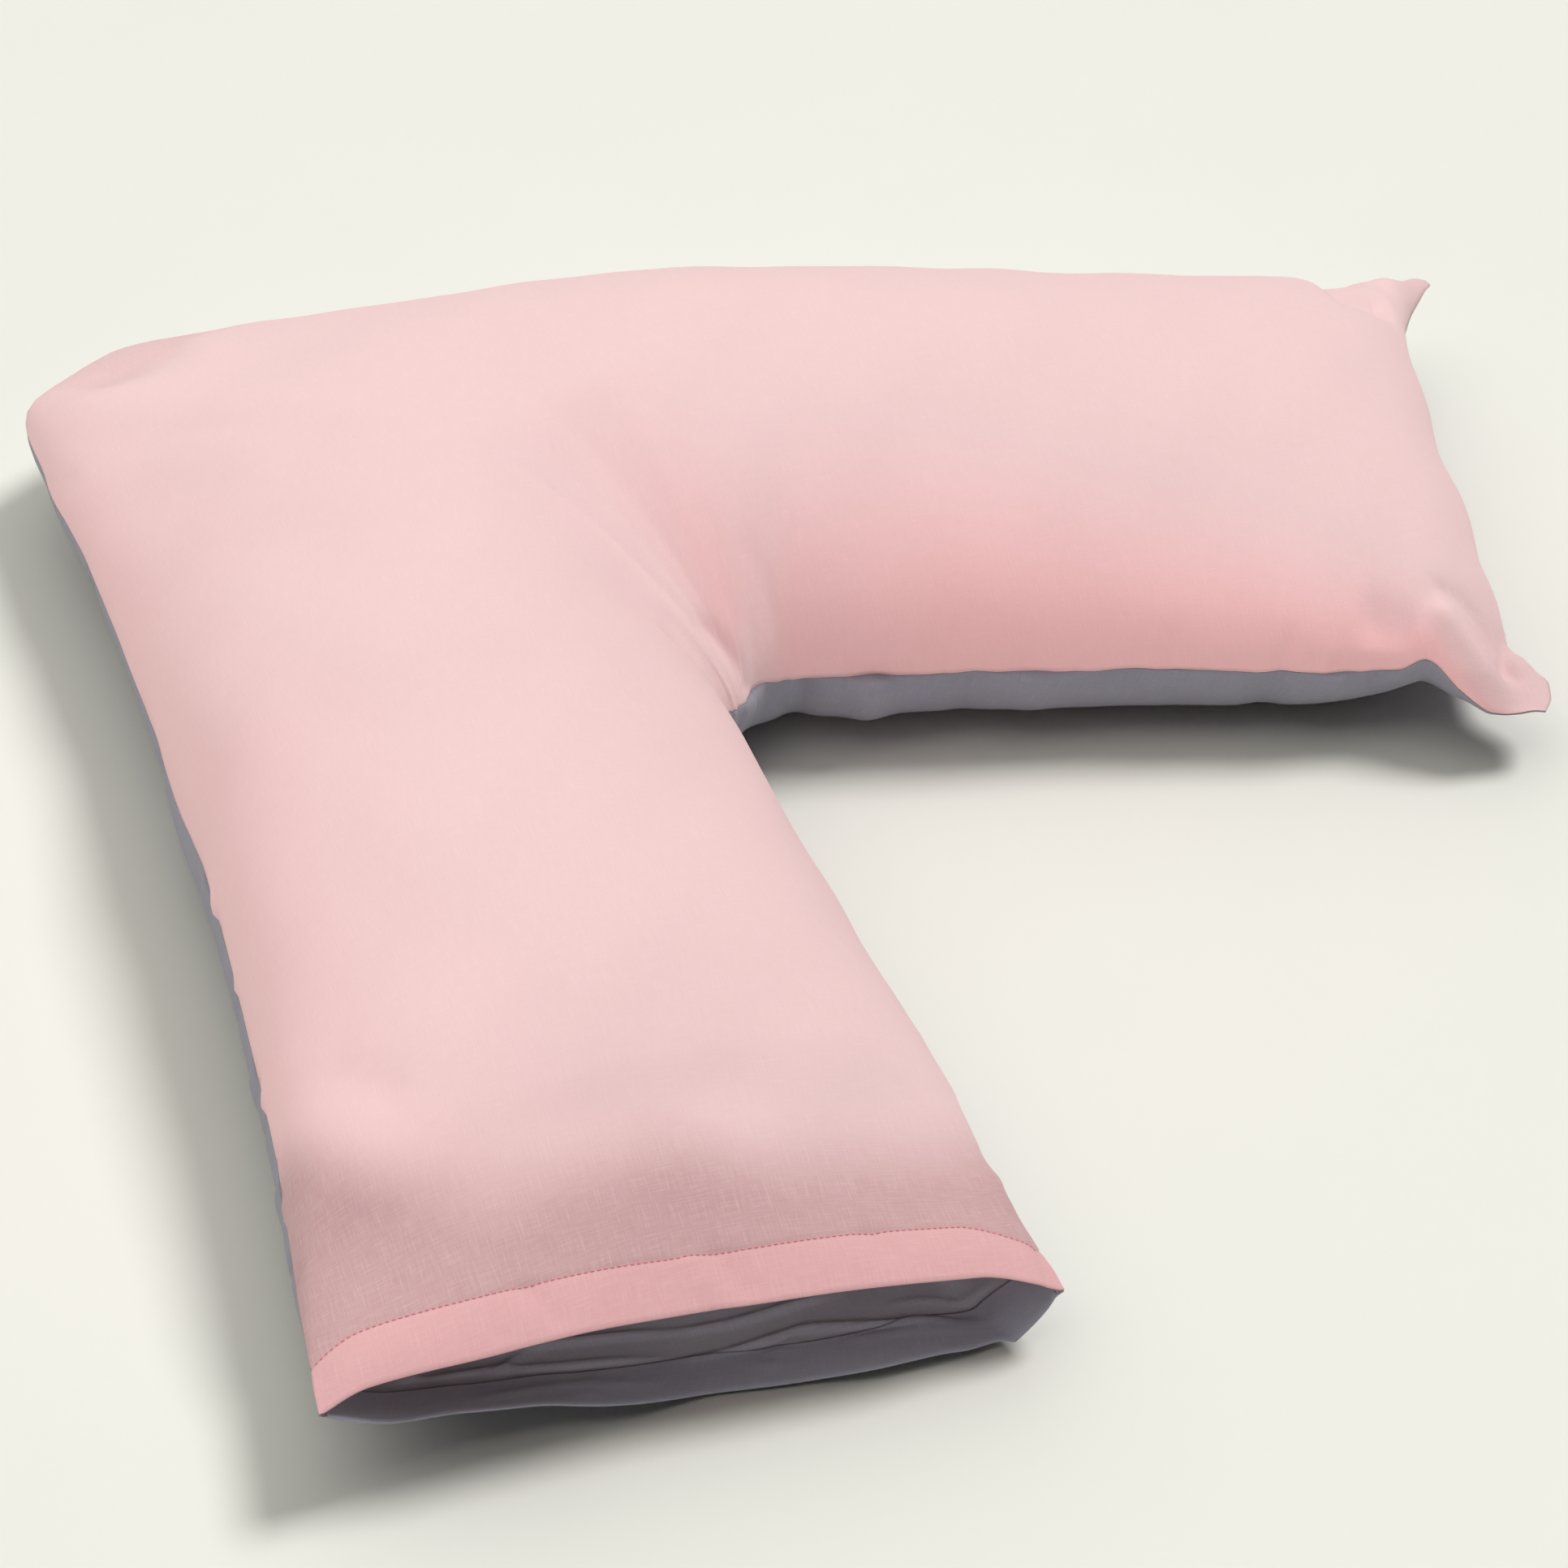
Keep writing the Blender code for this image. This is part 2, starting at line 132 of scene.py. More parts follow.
# Where the chord's crown line lies between the seams, 0 inner to 1 outer, and how round
# the slopes are: 2 is an ellipse, less is a leaner slope. The apex differs within some
# degrees of turn from the legs.
CROWN_PLACE = 0.50
APEX_CROWN_PLACE = 0.40
ROUND = 2.0
APEX_INNER_ROUND = 1.55
APEX_OUTER_ROUND = 1.65
APEX_BLEND = 30.0

# Where the bottom panel meets the floor between the seams, and how far its outer wall
# bulges out past the seam
FLOOR_FROM = 0.17
FLOOR_TO = 0.80
BELLY = 0.007

# Loose ear at the apex: how far the fill stops short of it, where it points, how many
# degrees it spreads, and from which share of the chord its cloth stretches out
EAR_REACH = 0.070
EAR_TURN = -3.0
EAR_SPREAD = 14.0
EAR_FROM = 0.8

# The mouth: the stretch of leg that it shapes, and its cross-section
MOUTH_REACH = 0.120
MOUTH_EASE = 1.5
MOUTH_FLOOR_FROM = 0.036
MOUTH_FLOOR_TO = 0.50
MOUTH_CROWN_PLACE = 0.58
MOUTH_WALL_POWER = 1.95
MOUTH_INNER_POWER = 1.10

# The edges of both panels at the mouth: distance down the leg at each share of the way
# from the inner to the outer seam
EdgePoint = namedtuple("EdgePoint", "across along")
TOP_MOUTH_EDGE = table(
    EdgePoint, (0.0, 432), (0.12, 417), (0.38, 417), (0.505, 414), (0.63, 408), (0.76, 402),
    (0.93, 394), (1.0, 402),
)
BOTTOM_MOUTH_EDGE = table(
    EdgePoint, (0.0, 432), (0.07, 422), (0.34, 417), (0.48, 409), (0.615, 398), (0.715, 391),
    (0.805, 393), (0.935, 402), (1.0, 402),
)

# Where the fill shows to end under the top panel, and over what stretch it fades: past it
# the cloth is painted mauve, as painted shade of the empty inside seen through the cloth
FILL_END = table(
    EdgePoint, (0.0, 325), (0.1, 334), (0.3, 334), (0.5, 316), (0.68, 318), (0.82, 300),
    (1.0, 235),
)
FILL_FADE = 0.050

# The closed end: the stretch over which each panel rounds to its seam, and how far that
# seam is drawn in, again from the inner to the outer seam
END_ROUNDING = 0.150
END_ROUNDING_BELOW = 0.200
END_REACH = 0.070
EndPoint = namedtuple("EndPoint", "across drawn_in")
END_SEAM = table(
    EndPoint, (0.0, 9), (0.025, 4), (0.055, 3), (0.08, 8), (0.105, 17), (0.13, 21), (0.18, 22),
    (0.26, 31), (0.35, 31), (0.46, 38), (0.58, 35), (0.7, 39), (0.8, 34), (0.9, 22), (0.96, 8),
    (0.985, 2), (1.0, 4),
)

# Its corners are empty: the panels lie on each other within this distance of them
INNER_EMPTY = 0.084
INNER_EMPTY_BELOW = 0.104
OUTER_EMPTY = 0.040

# The filled pillow: its share of the room in the case, where it ends in each leg, how
# long its rounded ends are, and the share of its width that its last chords lose
FILL = 0.965
FILL_FROM_MOUTH = 0.100
FILL_FROM_END = 0.050
FILL_ROUNDING_MOUTH = 0.060
FILL_ROUNDING_END = 0.134
FILL_NARROWING = 0.12
FILL_MIDDLE = 0.45
FILL_PAST_EAR = 0.9

# A crease, as a soft ridge (height above 0) or trough (below 0) along points given as
# distance along a leg and distance out from its inner side. It fades at both ends, over
# this share of its length.
Crease = namedtuple("Crease", "leg points half_width height")
CREASE_FADE = 0.3
MOUTH = 1
CLOSED = -1

# Folds of both panels together, where the cloth lies on itself
CORNER_FOLDS = table(
    Crease,
    # Near corner of the closed leg: its ridge, and the valley in front of the fill
    (CLOSED, ((378, 37), (392, 30), (408, 14), (426, -4)), 9, 9),
    (CLOSED, ((338, 36), (358, 27), (378, 22)), 11, -7),
    (CLOSED, ((412, 44), (424, 24), (436, 10)), 8, -5),
    # Far corner
    (CLOSED, ((365, 316), (390, 320), (418, 320)), 19, -10),
    (CLOSED, ((410, 360), (434, 374), (462, 388)), 16, 6),
    (CLOSED, ((352, 346), (376, 360), (396, 382)), 17, -9),
    # Slack between the fill and the ear
    (CLOSED, ((-310, 334), (-356, 321), (-395, 308)), 21, -8),
    (MOUTH, ((-350, 338), (-322, 330), (-296, 320)), 8, -4),
)
TOP_CREASES = table(
    Crease,
    # Out from the corner of the V
    (CLOSED, ((0, 14), (-16, 24), (-40, 36)), 5, -3),
    (CLOSED, ((-14, 6), (-34, 12), (-62, 24)), 5.5, -1.6),
    (CLOSED, ((-22, 0), (-40, 2), (-60, 8)), 5, -1),
    (MOUTH, ((-2, 20), (-12, 36), (-20, 56)), 6, -1.4),
    (CLOSED, ((12, 34), (4, 50), (-10, 72)), 6, -1),
    # Dents in the near corner of the closed leg
    (CLOSED, ((380, 48), (402.6, 45.2), (422, 38.5)), 4.2, -3),
    (CLOSED, ((432, 52), (427.1, 28), (420, 4)), 4.5, -2.6),
    (CLOSED, ((440, 46), (438, 30), (433, 14)), 4.5, 1.6),
    # Across the hem, where it was folded
    (MOUTH, ((382, 258), (398, 248), (414, 240)), 4.2, -2.4),
    (MOUTH, ((386, 176), (402, 168), (420, 162)), 3.4, 2.4),
    (MOUTH, ((386, 160), (404, 153), (420, 148)), 3.8, -2.6),
    (MOUTH, ((392, 86), (406, 78), (420, 74)), 4.2, -2),
    # Soft hollows over the end of the fill
    (MOUTH, ((318, 90), (326, 170), (318, 250)), 20, -3),
    (MOUTH, ((292, 276), (262, 300), (236, 318)), 12, -2),
)
BOTTOM_CREASES = table(
    Crease,
    # Long wrinkles inside the mouth, about level with its edge
    (MOUTH, ((357, 300), (355, 265), (358, 240), (369, 155)), 2.7, 2.6),
    (MOUTH, ((374, 325), (371, 270), (377, 240), (386, 170)), 2.2, 2),
    (MOUTH, ((376, 268), (365, 254), (356, 241)), 2.1, 2.2),
    (MOUTH, ((388, 190), (389, 144), (387, 111), (398, 80), (420, 4)), 2.4, 2.7),
    (MOUTH, ((367, 184), (371, 144), (370, 120), (369, 80)), 2.6, 2.6),
    (MOUTH, ((416, 146), (401, 131), (387, 110)), 2.1, 2.2),
    (MOUTH, ((385, 70), (399, 12)), 2.1, 1.4),
    (MOUTH, ((356, 302), (371, 308), (378, 322)), 2.1, 2),
    (MOUTH, ((400, 296), (394, 240), (404, 180)), 2.7, 1.1),
    (MOUTH, ((404, 100), (410, 60), (420, 20)), 2.4, 1.2),
    (MOUTH, ((340, 250), (348, 180), (350, 110)), 3.2, 2.6),
    (MOUTH, ((410, 236), (400, 226), (384, 222)), 2.1, 1.4),
)

# Gathers that run square from a seam onto a panel: distance along the leg, length and
# half width of each, and its height, above 0 for a ridge
Gather = namedtuple("Gather", "leg along length half_width height")
TOP_INNER_GATHERS = table(
    Gather,
    (CLOSED, 10, 14, 1.8, 0.8),
    (CLOSED, 21, 18, 2.2, -0.7),
    (CLOSED, 34, 22, 2, 1.1),
    (CLOSED, 52, 18, 3, -0.9),
    (CLOSED, 68, 20, 2, 1.2),
    (CLOSED, 88, 22, 2.4, 1.3),
    (CLOSED, 104, 20, 4, -1.2),
    (CLOSED, 150, 34, 6, -1.8),
    (CLOSED, 186, 30, 4, 1.2),
    (CLOSED, 232, 40, 6, -2),
    (CLOSED, 262, 30, 4, 1.4),
    (CLOSED, 298, 40, 6, -2.2),
    (CLOSED, 322, 30, 4, 1.6),
    (MOUTH, 12, 12, 2, -1.2),
    (MOUTH, 30, 14, 2.6, 1.2),
    (MOUTH, 96, 20, 5, -1.2),
    (MOUTH, 190, 24, 6, -1.4),
    (MOUTH, 280, 30, 6, 0.7),
    (MOUTH, 352, 26, 6, -0.7),
)
TOP_OUTER_GATHERS = table(
    Gather,
    (MOUTH, 59, 34, 4, 3),
    (MOUTH, 76, 26, 6, -2.7),
    (MOUTH, 120, 22, 5, 1.8),
    (MOUTH, 194, 26, 4.5, -3.3),
    (MOUTH, 208, 22, 4, 2.1),
    (MOUTH, 250, 30, 4.5, -3.6),
    (MOUTH, 271, 34, 4, -3.9),
    (MOUTH, 286, 26, 3.6, 2.4),
    (MOUTH, 330, 24, 4, -2.1),
    (MOUTH, -120, 26, 6, -1.4),
    (CLOSED, 40, 30, 6, -1.4),
    (CLOSED, 130, 26, 5, 1.2),
    (CLOSED, 215, 34, 7, -2),
    (CLOSED, 300, 30, 5, 1.4),
    (CLOSED, 352, 34, 6, -2.4),
)
BOTTOM_INNER_GATHERS = table(
    Gather,
    (CLOSED, -4, 46, 6, 4),
    (CLOSED, 22, 95, 12, -7.5),
    (CLOSED, 64, 95, 15, 7),
    (CLOSED, 118, 70, 11, -3.6),
    (CLOSED, 158, 70, 14, 3.6),
    (CLOSED, 196, 34, 5, -2.6),
    (CLOSED, 226, 38, 8, 2.2),
    (CLOSED, 290, 80, 12, -4.5),
    (CLOSED, 330, 36, 6, 3.6),
    (CLOSED, 352, 34, 6, -3.4),
    (MOUTH, 20, 34, 6, -3),
    (MOUTH, 110, 34, 8, 1.2),
    (MOUTH, 210, 34, 7, -2.4),
    (MOUTH, 310, 34, 9, -2),
)
BOTTOM_OUTER_GATHERS = table(
    Gather,
    (MOUTH, -250, 40, 7, -3.6),
    (MOUTH, -80, 40, 7, -2.6),
    (MOUTH, 30, 40, 8, 2.6),
    (MOUTH, 118, 44, 6, -3),
    (MOUTH, 176, 44, 6, 3),
    (MOUTH, 206, 44, 5, -3.4),
    (MOUTH, 262, 40, 6, 2.8),
    (MOUTH, 306, 40, 5, -3),
    (CLOSED, 30, 40, 8, -2.6),
    (CLOSED, 140, 40, 8, 2.6),
    (CLOSED, 240, 40, 8, -3),
    (CLOSED, 330, 36, 7, 3),
)

# How far inside its seam a gather starts, the share of its width that it loses, and the
# middle of a leg, up to which its inner seam's gathers count
GATHER_START = 0.0035
GATHER_NARROWS = 0.35
LEG_MIDDLE = 0.19

# Slack of the stuffed cloth: long low waves over the whole surface, as wave length,
# direction in degrees, height and start
Swell = namedtuple("Swell", "length turn height start")
SWELLS = table(
    Swell, (163, 20.0, 0.8, 0.4), (118, 75.0, 0.6, 2.2), (91, 130.0, 0.4, 4.1),
    (67, 165.0, 0.3, 1.3), (52, 100.0, 0.2, 5.2),
)

# How the seams wander, and the gathers of the filled pillow's bag
Wave = namedtuple("Wave", "length height start")
SEAM_WAVES = table(Wave, (46, 0.4, 0.7), (29, 0.3, 2.9), (19, 0.2, 4.4), (83, 0.6, 1.9))
BAG_GATHERS = table(Wave, (41, 0.6, 0.3), (27, 0.5, 1.9), (63, 0.5, 4.0))

# Fineness of the cloth: pitch of the chords up to some distances along the V, and steps
# across a chord
Fineness = namedtuple("Fineness", "up_to pitch")
FINENESS = table(
    Fineness, (20, 2.2), (28, 0.8), (130, 1.8), (555, 5.8), (675, 3.4), (850, 5.8), (968, 1.6),
    (1150, 5.6), (math.inf, 2.8),
)
STEPS = 96
PILLOW_PITCH = 0.008
PILLOW_STEPS = 40

# The rows of both panels run level with their mouth edge up to one distance from it, and
# square to the leg again from the next one on
LEVEL_TO = 0.030
LEVEL_UNTIL = 0.150

# The turned hem: its layers lie this far apart, and the turned one is this much narrower
# at each seam
HEM_GAP = 0.0003
HEM_SHORT = 0.004

# The lips of the mouth: how high each part of the lower one stands off the floor, how much
# higher the upper one hangs over it, and both at their outer tip, and from where. Then how
# far they reach forward for each metre of that, over what stretch they come down, and how
# far the lower one's inner end leans in
LipPoint = namedtuple("LipPoint", "across lift")
LIP_LIFT = table(
    LipPoint, (0.0, 4), (0.06, 5), (0.16, 8), (0.24, 8), (0.36, 3), (0.46, 2), (0.6, 13),
    (0.75, 19), (0.88, 12), (1.0, 6),
)
OVERHANG = table(
    LipPoint, (0.0, 0), (0.05, 6), (0.14, 9), (0.3, 5), (0.48, 1), (0.62, 5), (0.78, 10),
    (0.92, 6), (1.0, 0),
)
TIP_LIFT = 0.010
TIP_FROM = 0.70
LIP_FORWARD = 1.2
LIP_STRETCH = 0.075
LIP_TUCK = 0.013
LIP_TUCK_OVER = 0.14

# Within this distance the cloth is held to its seam, and this far in the seam's wander
# fades. The panels fold as one where they lie closer together than about the last size.
SEAM_PINCH = 0.016
SEAM_FREE = 0.008
SEAM_REACH = 0.030
TOGETHER = 0.020

# How far the hem puffs up between its edge and its stitches, how far the stitches sink in
# and over what distance, the share of both on the bottom panel, whose hem lies flatter, and
# the distance over which the hem's colour ends
HEM_PUFF = 0.0004
HEM_DIP = 0.0005
HEM_DIP_REACH = 0.0014
BOTTOM_HEM_RELIEF = 0.4
HEM_FADE = 0.0010

# How far the mauve of the empty cloth, painted shade of the empty inside seen through it,
# shows in the ear and in the closed corners, over what distance it fades in the ear, how
# wide the ear is there at least, and the chord's turn from which it shows, and over which it
# grows
EAR_SHOWS = 0.36
CORNER_SHOWS = 0.28
EAR_FADE = 0.030
EAR_LEAST = 0.012
EAR_SHOWS_FROM = 4.0
EAR_SHOWS_OVER = 8.0

# Painted shade: the slopes that face -X, away from the key lamp, are painted a deeper pink,
# which stands in for the light that glows through the cloth on its shaded side. The slant at
# which it starts, and over which it grows, as the -X part of the cloth's unit normal. Then
# how much it does on each leg, the stretch over which it grows down the closed one, and the
# rows that it is evened over
SHADED_SLOPE_FROM = 0.16
SHADED_SLOPE_OVER = 0.62
SHADED_SLOPE_ON_MOUTH_LEG = 0.40
SHADED_SLOPE_AT_APEX = 0.62
SHADED_SLOPE_REACH = 0.14
SHADED_SLOPE_ROWS = 17

# The bag of the filled pillow: how closely its ends are drawn in, how far it keeps from
# the case, how far its chords are drawn towards its ends, where they lie closer together,
# how fast it narrows there, and how far its gathers reach from its seam
BAG_CLOSE = 0.0008
BAG_CLEAR = 0.0035
BAG_EASE = 0.25
BAG_NARROWING_POWER = 1.5
BAG_GATHER_REACH = 0.3

# One stitch: radius of its thread, share of the pitch that it fills, its thickness at its
# tips, how far it arches up and sinks in, each as a share of the radius, and its fineness
STITCH_RADIUS = 0.00042
STITCH_SHARE = 0.76
STITCH_TIP = 0.45
STITCH_ARCH = 1.3
STITCH_SINK = 0.6
STITCH_RINGS = 6
STITCH_SIDES = 6

# Bands of a wave texture of scale 1 lie this far apart
BAND_PERIOD = 0.314

# The threads of the cotton: how much evener one yarn is, the height of the weave beside
# that of the slubs, and which slubs catch the eye and how much, beside all of them
EVENER_YARN = 0.05
WEAVE_HEIGHT = 0.12
THICK_RANGE = (0.62, 0.80)
EVEN_RANGE = (0.66, 1.24)
THICK_LIGHT = 0.45

# Each finish's darker and lighter threads. The lighter ones are settings, and the darker
# ones keep their ratio to them.
THREADS = {
    "pink": ("E0C0C1", "E5C6C8"),
    # Painted shade: deeper pink for the slopes that face away from the key lamp
    "shaded_pink": ("F5BEC0", "FAC6C8"),
    # Painted shade: mauve where the empty inside shows through the cloth
    "shaded_mauve": ("BD9698", "CCABAD"),
    "hem_pink": ("D3A1A4", "DBADB0"),
    "slate": ("8B8995", "9896A1"),
    # Painted light: paler slate for the inside face, seen in the shaded mouth
    "lit_slate_inside": ("9A98A1", "A8A5AF"),
    "ticking": ("E9E4DF", "F3F0EC"),
    "sewing_pink": ("C8717C", "DE8F97"),
}

# The lamps stand in these directions from the part
KEY_PLACE = (1.83, -0.83, 3.0)
KEY_COLOUR = (0.99, 0.985, 0.975)
TOP_PLACE = (0.40, 1.20, 2.2)
TOP_COLOUR = (1.0, 0.99, 0.92)
SIDE_PLACE = (-1.6, 1.7, 1.0)
FRONT_PLACE = (-1.3, -1.4, 1.5)
FRONT_COLOUR = (1.0, 0.99, 0.98)
SKY_COLOUR = (0.95, 0.95, 0.93)

# Collection of the pieces that the flagged lamps light
FLAGGED = "Lit by the flagged lamps"

# The camera stands where the photo was taken from
CAMERA_PLACE = (CORNER[0] - 1.60587, CORNER[1] - 1.05635, 1.71207)
CAMERA_TURN = math.radians(-57.0)
CAMERA_PITCH = math.radians(41.5)
LENS = 104.0
SENSOR = 36.0


def linear(text):
    """Linear colour from an sRGB hex value."""
    parts = [int(text[i : i + 2], 16) / 255.0 for i in (0, 2, 4)]
    return tuple(c / 12.92 if c <= 0.04045 else ((c + 0.055) / 1.055) ** 2.4 for c in parts)


def smoothstep(value):
    """Ease a value from 0 to 1."""
    value = np.clip(value, 0.0, 1.0)
    return value * value * (3.0 - 2.0 * value)


def blend(first, second, share):
    """The first value where the share is 0, and the second where it is 1."""
    return first + (second - first) * share


def quarter_round(distance, reach):
    """Rise from 0 to 1 over a reach, as a quarter of an ellipse does."""
    left = np.clip(1.0 - distance / reach, 0.0, 1.0)
    return np.sqrt(1.0 - left**2)


def section_places():
    """Distance of each main chord along the V, from the mouth."""
    places = [0.0]
    for last, this in zip(SECTIONS[:-1], SECTIONS[1:]):
        turned = math.radians(abs(this.turn - last.turn)) * TURN_RADIUS
        places.append(places[-1] + abs(this.along - last.along) + turned)
    return np.array(places)


def monotone_curve(places, values, at):
    """Read a smooth curve that never overshoots the values that it passes through."""
    width = np.diff(places)
    slope = np.diff(values) / width
    tangent = np.zeros_like(values)
    tangent[0], tangent[-1] = slope[0], slope[-1]
    for i in range(1, len(values) - 1):
        if slope[i - 1] * slope[i] > 0.0:
            before = 2.0 * width[i] + width[i - 1]
            after = width[i] + 2.0 * width[i - 1]
            tangent[i] = (before + after) / (before / slope[i - 1] + after / slope[i])
    i = np.clip(np.searchsorted(places, at) - 1, 0, len(width) - 1)
    t = (at - places[i]) / width[i]
    rise = values[i + 1] - values[i]
    ease = t * t * (3.0 - 2.0 * t)
    return (
        values[i]
        + rise * ease
        + width[i] * tangent[i] * t * (1.0 - t) ** 2
        - width[i] * tangent[i + 1] * t * t * (1.0 - t)
    )


def read_line(table, at):
    """Read a smooth line through a table of two columns."""
    places, values = np.array(table).T
    return monotone_curve(places, values, np.clip(at, places[0], places[-1]))


def sections_at(at):
    """The chords at some distances along the V, as one Section of columns."""
    places = section_places()
    columns = np.array(SECTIONS).T
    return Section(*(monotone_curve(places, column, at) for column in columns))


def plan_point(turn, along, out):
    """Plan position of a point, from its chord's turn and its distances along and out."""
    angle = np.radians(turn)
    x = CORNER[0] - np.sin(angle) * out - LEG_X * np.sign(turn) * along
    y = CORNER[1] + np.cos(angle) * out - LEG_Y * along
    return x, y


def leg_place(leg, points):
    """Distances along and out of a leg, of some points."""
    x = leg * (points[..., 0] - CORNER[0])
    y = points[..., 1] - CORNER[1]
    return -LEG_X * x - LEG_Y * y, -LEG_Y * x + LEG_X * y


def distance_to_mouth(chord):
    """Distance of each chord from the mouth, large outside the mouth leg."""
    return np.where(chord.turn >= SQUARE, SECTIONS[0].along - chord.along, 1.0)


def distance_to_end(chord):
    """Distance of each chord from the closed end, large outside the closed leg."""
    return np.where(chord.turn <= -SQUARE, SECTIONS[-1].along - chord.along, 1.0)


def mouth_share(chord):
    """How much the mouth shapes each chord, from 1 at the mouth to 0."""
    return np.clip(1.0 - distance_to_mouth(chord) / MOUTH_REACH, 0.0, 1.0) ** MOUTH_EASE


def apex_share(chord):
    """How much the apex shapes each chord, from 1 at the apex to 0 on the legs."""
    return smoothstep((SQUARE - np.abs(chord.turn)) / APEX_BLEND)


def ear_reach(chord):
    """Width of the unfilled ear on each chord, widest where the apex points."""
    return EAR_REACH * np.exp(-(((chord.turn - EAR_TURN) / EAR_SPREAD) ** 2))


def crown_place(chord):
    """Where the crown line lies between the seams of each chord."""
    return (
        CROWN_PLACE
        + (APEX_CROWN_PLACE - CROWN_PLACE) * apex_share(chord)
        + (MOUTH_CROWN_PLACE - CROWN_PLACE) * mouth_share(chord)
    )


def spread(chord, steps):
    """Places from the inner to the outer seam, close together near both."""
    swing = np.linspace(0.0, math.pi, steps + 1)[None]
    crown = crown_place(chord)
    share = np.where(
        swing <= math.pi / 2.0,
        crown * (1.0 - np.cos(swing)),
        1.0 - (1.0 - crown) * (1.0 + np.cos(swing)),
    )
    return share, swing <= math.pi / 2.0


# What is known of each point of a panel: its chord, its place between the seams from 0 to
# 1, its distance out along the chord and its distance down the leg
Facts = namedtuple("Facts", "chord across out along")


def panel_points(at, steps, side, cloth):
    """Points of one panel's inside face, with their facts. Side is 1 for the top panel and
    -1 for the bottom one, and at holds distances along the V, by row or by point."""
    chord = sections_at(at)
    mouth, apex, ear = mouth_share(chord), apex_share(chord), ear_reach(chord)
    from_end = distance_to_end(chord)
    end = np.clip(1.0 - from_end / END_REACH, 0.0, 1.0) ** 2
    share, inner_half = spread(chord, steps)
    crown = crown_place(chord)
    width = chord.outer - chord.inner
    stretch = ear * np.clip((share - EAR_FROM) / (1.0 - EAR_FROM), 0.0, 1.0) ** 2
    out = chord.inner + share * (width - ear) + stretch
    across = (out - chord.inner) / width
    empty = INNER_EMPTY if side > 0 else INNER_EMPTY_BELOW
    filled = smoothstep(np.hypot(from_end, across * width) / empty)
    filled = filled * smoothstep(np.hypot(from_end, (1.0 - across) * width) / OUTER_EMPTY)
    seam = blend(chord.inner_height, chord.outer_height, share)

    if side > 0:
        # Up from the seams to the crown
        apex_round = np.where(inner_half, APEX_INNER_ROUND, APEX_OUTER_ROUND)
        roundness = blend(ROUND, apex_round, apex)
        down = np.clip(np.abs(share - crown) / np.where(inner_half, crown, 1.0 - crown), 0.0, 1.0)
        swell = (1.0 - down**roundness) ** (1.0 / roundness)
        swell = blend(swell, np.cos(down * math.pi / 2.0), mouth)
        rise = (chord.crown - seam) * swell
        height = seam + rise * quarter_round(from_end, END_ROUNDING) * filled
        edge, belly = TOP_MOUTH_EDGE, 0.0
    else:
        # Down from the seams to the floor
        floor_to = blend(FLOOR_TO, MOUTH_FLOOR_TO, mouth)
        inner_rise = np.clip(1.0 - share / blend(FLOOR_FROM, MOUTH_FLOOR_FROM, mouth), 0.0, 1.0)
        outer_rise = np.clip((share - floor_to) / (1.0 - floor_to), 0.0, 1.0)
        height = cloth
        for rise, power, top in (
            (inner_rise, MOUTH_INNER_POWER, chord.inner_height),
            (outer_rise, MOUTH_WALL_POWER, chord.outer_height),
        ):
            wall = blend(1.0 - np.sqrt(1.0 - rise**2), rise**power, mouth)
            height = height + (top - cloth) * wall
        height = seam + (height - seam) * quarter_round(from_end, END_ROUNDING_BELOW) * filled
        edge = BOTTOM_MOUTH_EDGE
        belly = BELLY * np.sin(math.pi * outer_rise**4) * (1.0 - mouth) * (1.0 - apex)

    # Places along the leg: the mouth's edge and the drawn-in closed end
    along = chord.along - end * read_line(END_SEAM, across)
    along = along + mouth * (read_line(edge, across) - SECTIONS[0].along)
    points = np.stack([*plan_point(chord.turn, along, out + belly), height], -1)
    return points, Facts(chord, across, out, along)


def fine_rows():
    """Distances along the V of the cloth's rows, close together at its busy places."""
    length = section_places()[-1]
    rows, start = [], 0.0
    for stretch in FINENESS:
        finish = min(stretch.up_to, length)
        count = max(1, round((finish - start) / stretch.pitch))
        rows.append(np.linspace(start, finish, count, endpoint=False))
        start = finish
    return np.concatenate([*rows, [length]])


def level_rows(rows, steps, side):
    """Distance along the V of each point, so that the first rows are level with the mouth
    edge: there a row's own distance is how far it lies from that edge."""
    edge = TOP_MOUTH_EDGE if side > 0 else BOTTOM_MOUTH_EDGE
    rows = rows[:, None]
    level = 1.0 - smoothstep((rows - LEVEL_TO) / (LEVEL_UNTIL - LEVEL_TO))
    at = rows + np.zeros(steps + 1)
    for _ in range(20):
        chord = sections_at(at)
        share, _ = spread(chord, steps)
        past = read_line(edge, share) - SECTIONS[0].along
        at = rows - past * (1.0 - mouth_share(chord)) * level
    return np.clip(at, 0.0, section_places()[-1])


def run_along(line):
    """Distance of each point of a line from its start."""
    run = np.linalg.norm(np.diff(line, axis=0), axis=1)
    return np.concatenate([[0.0], np.cumsum(run)])


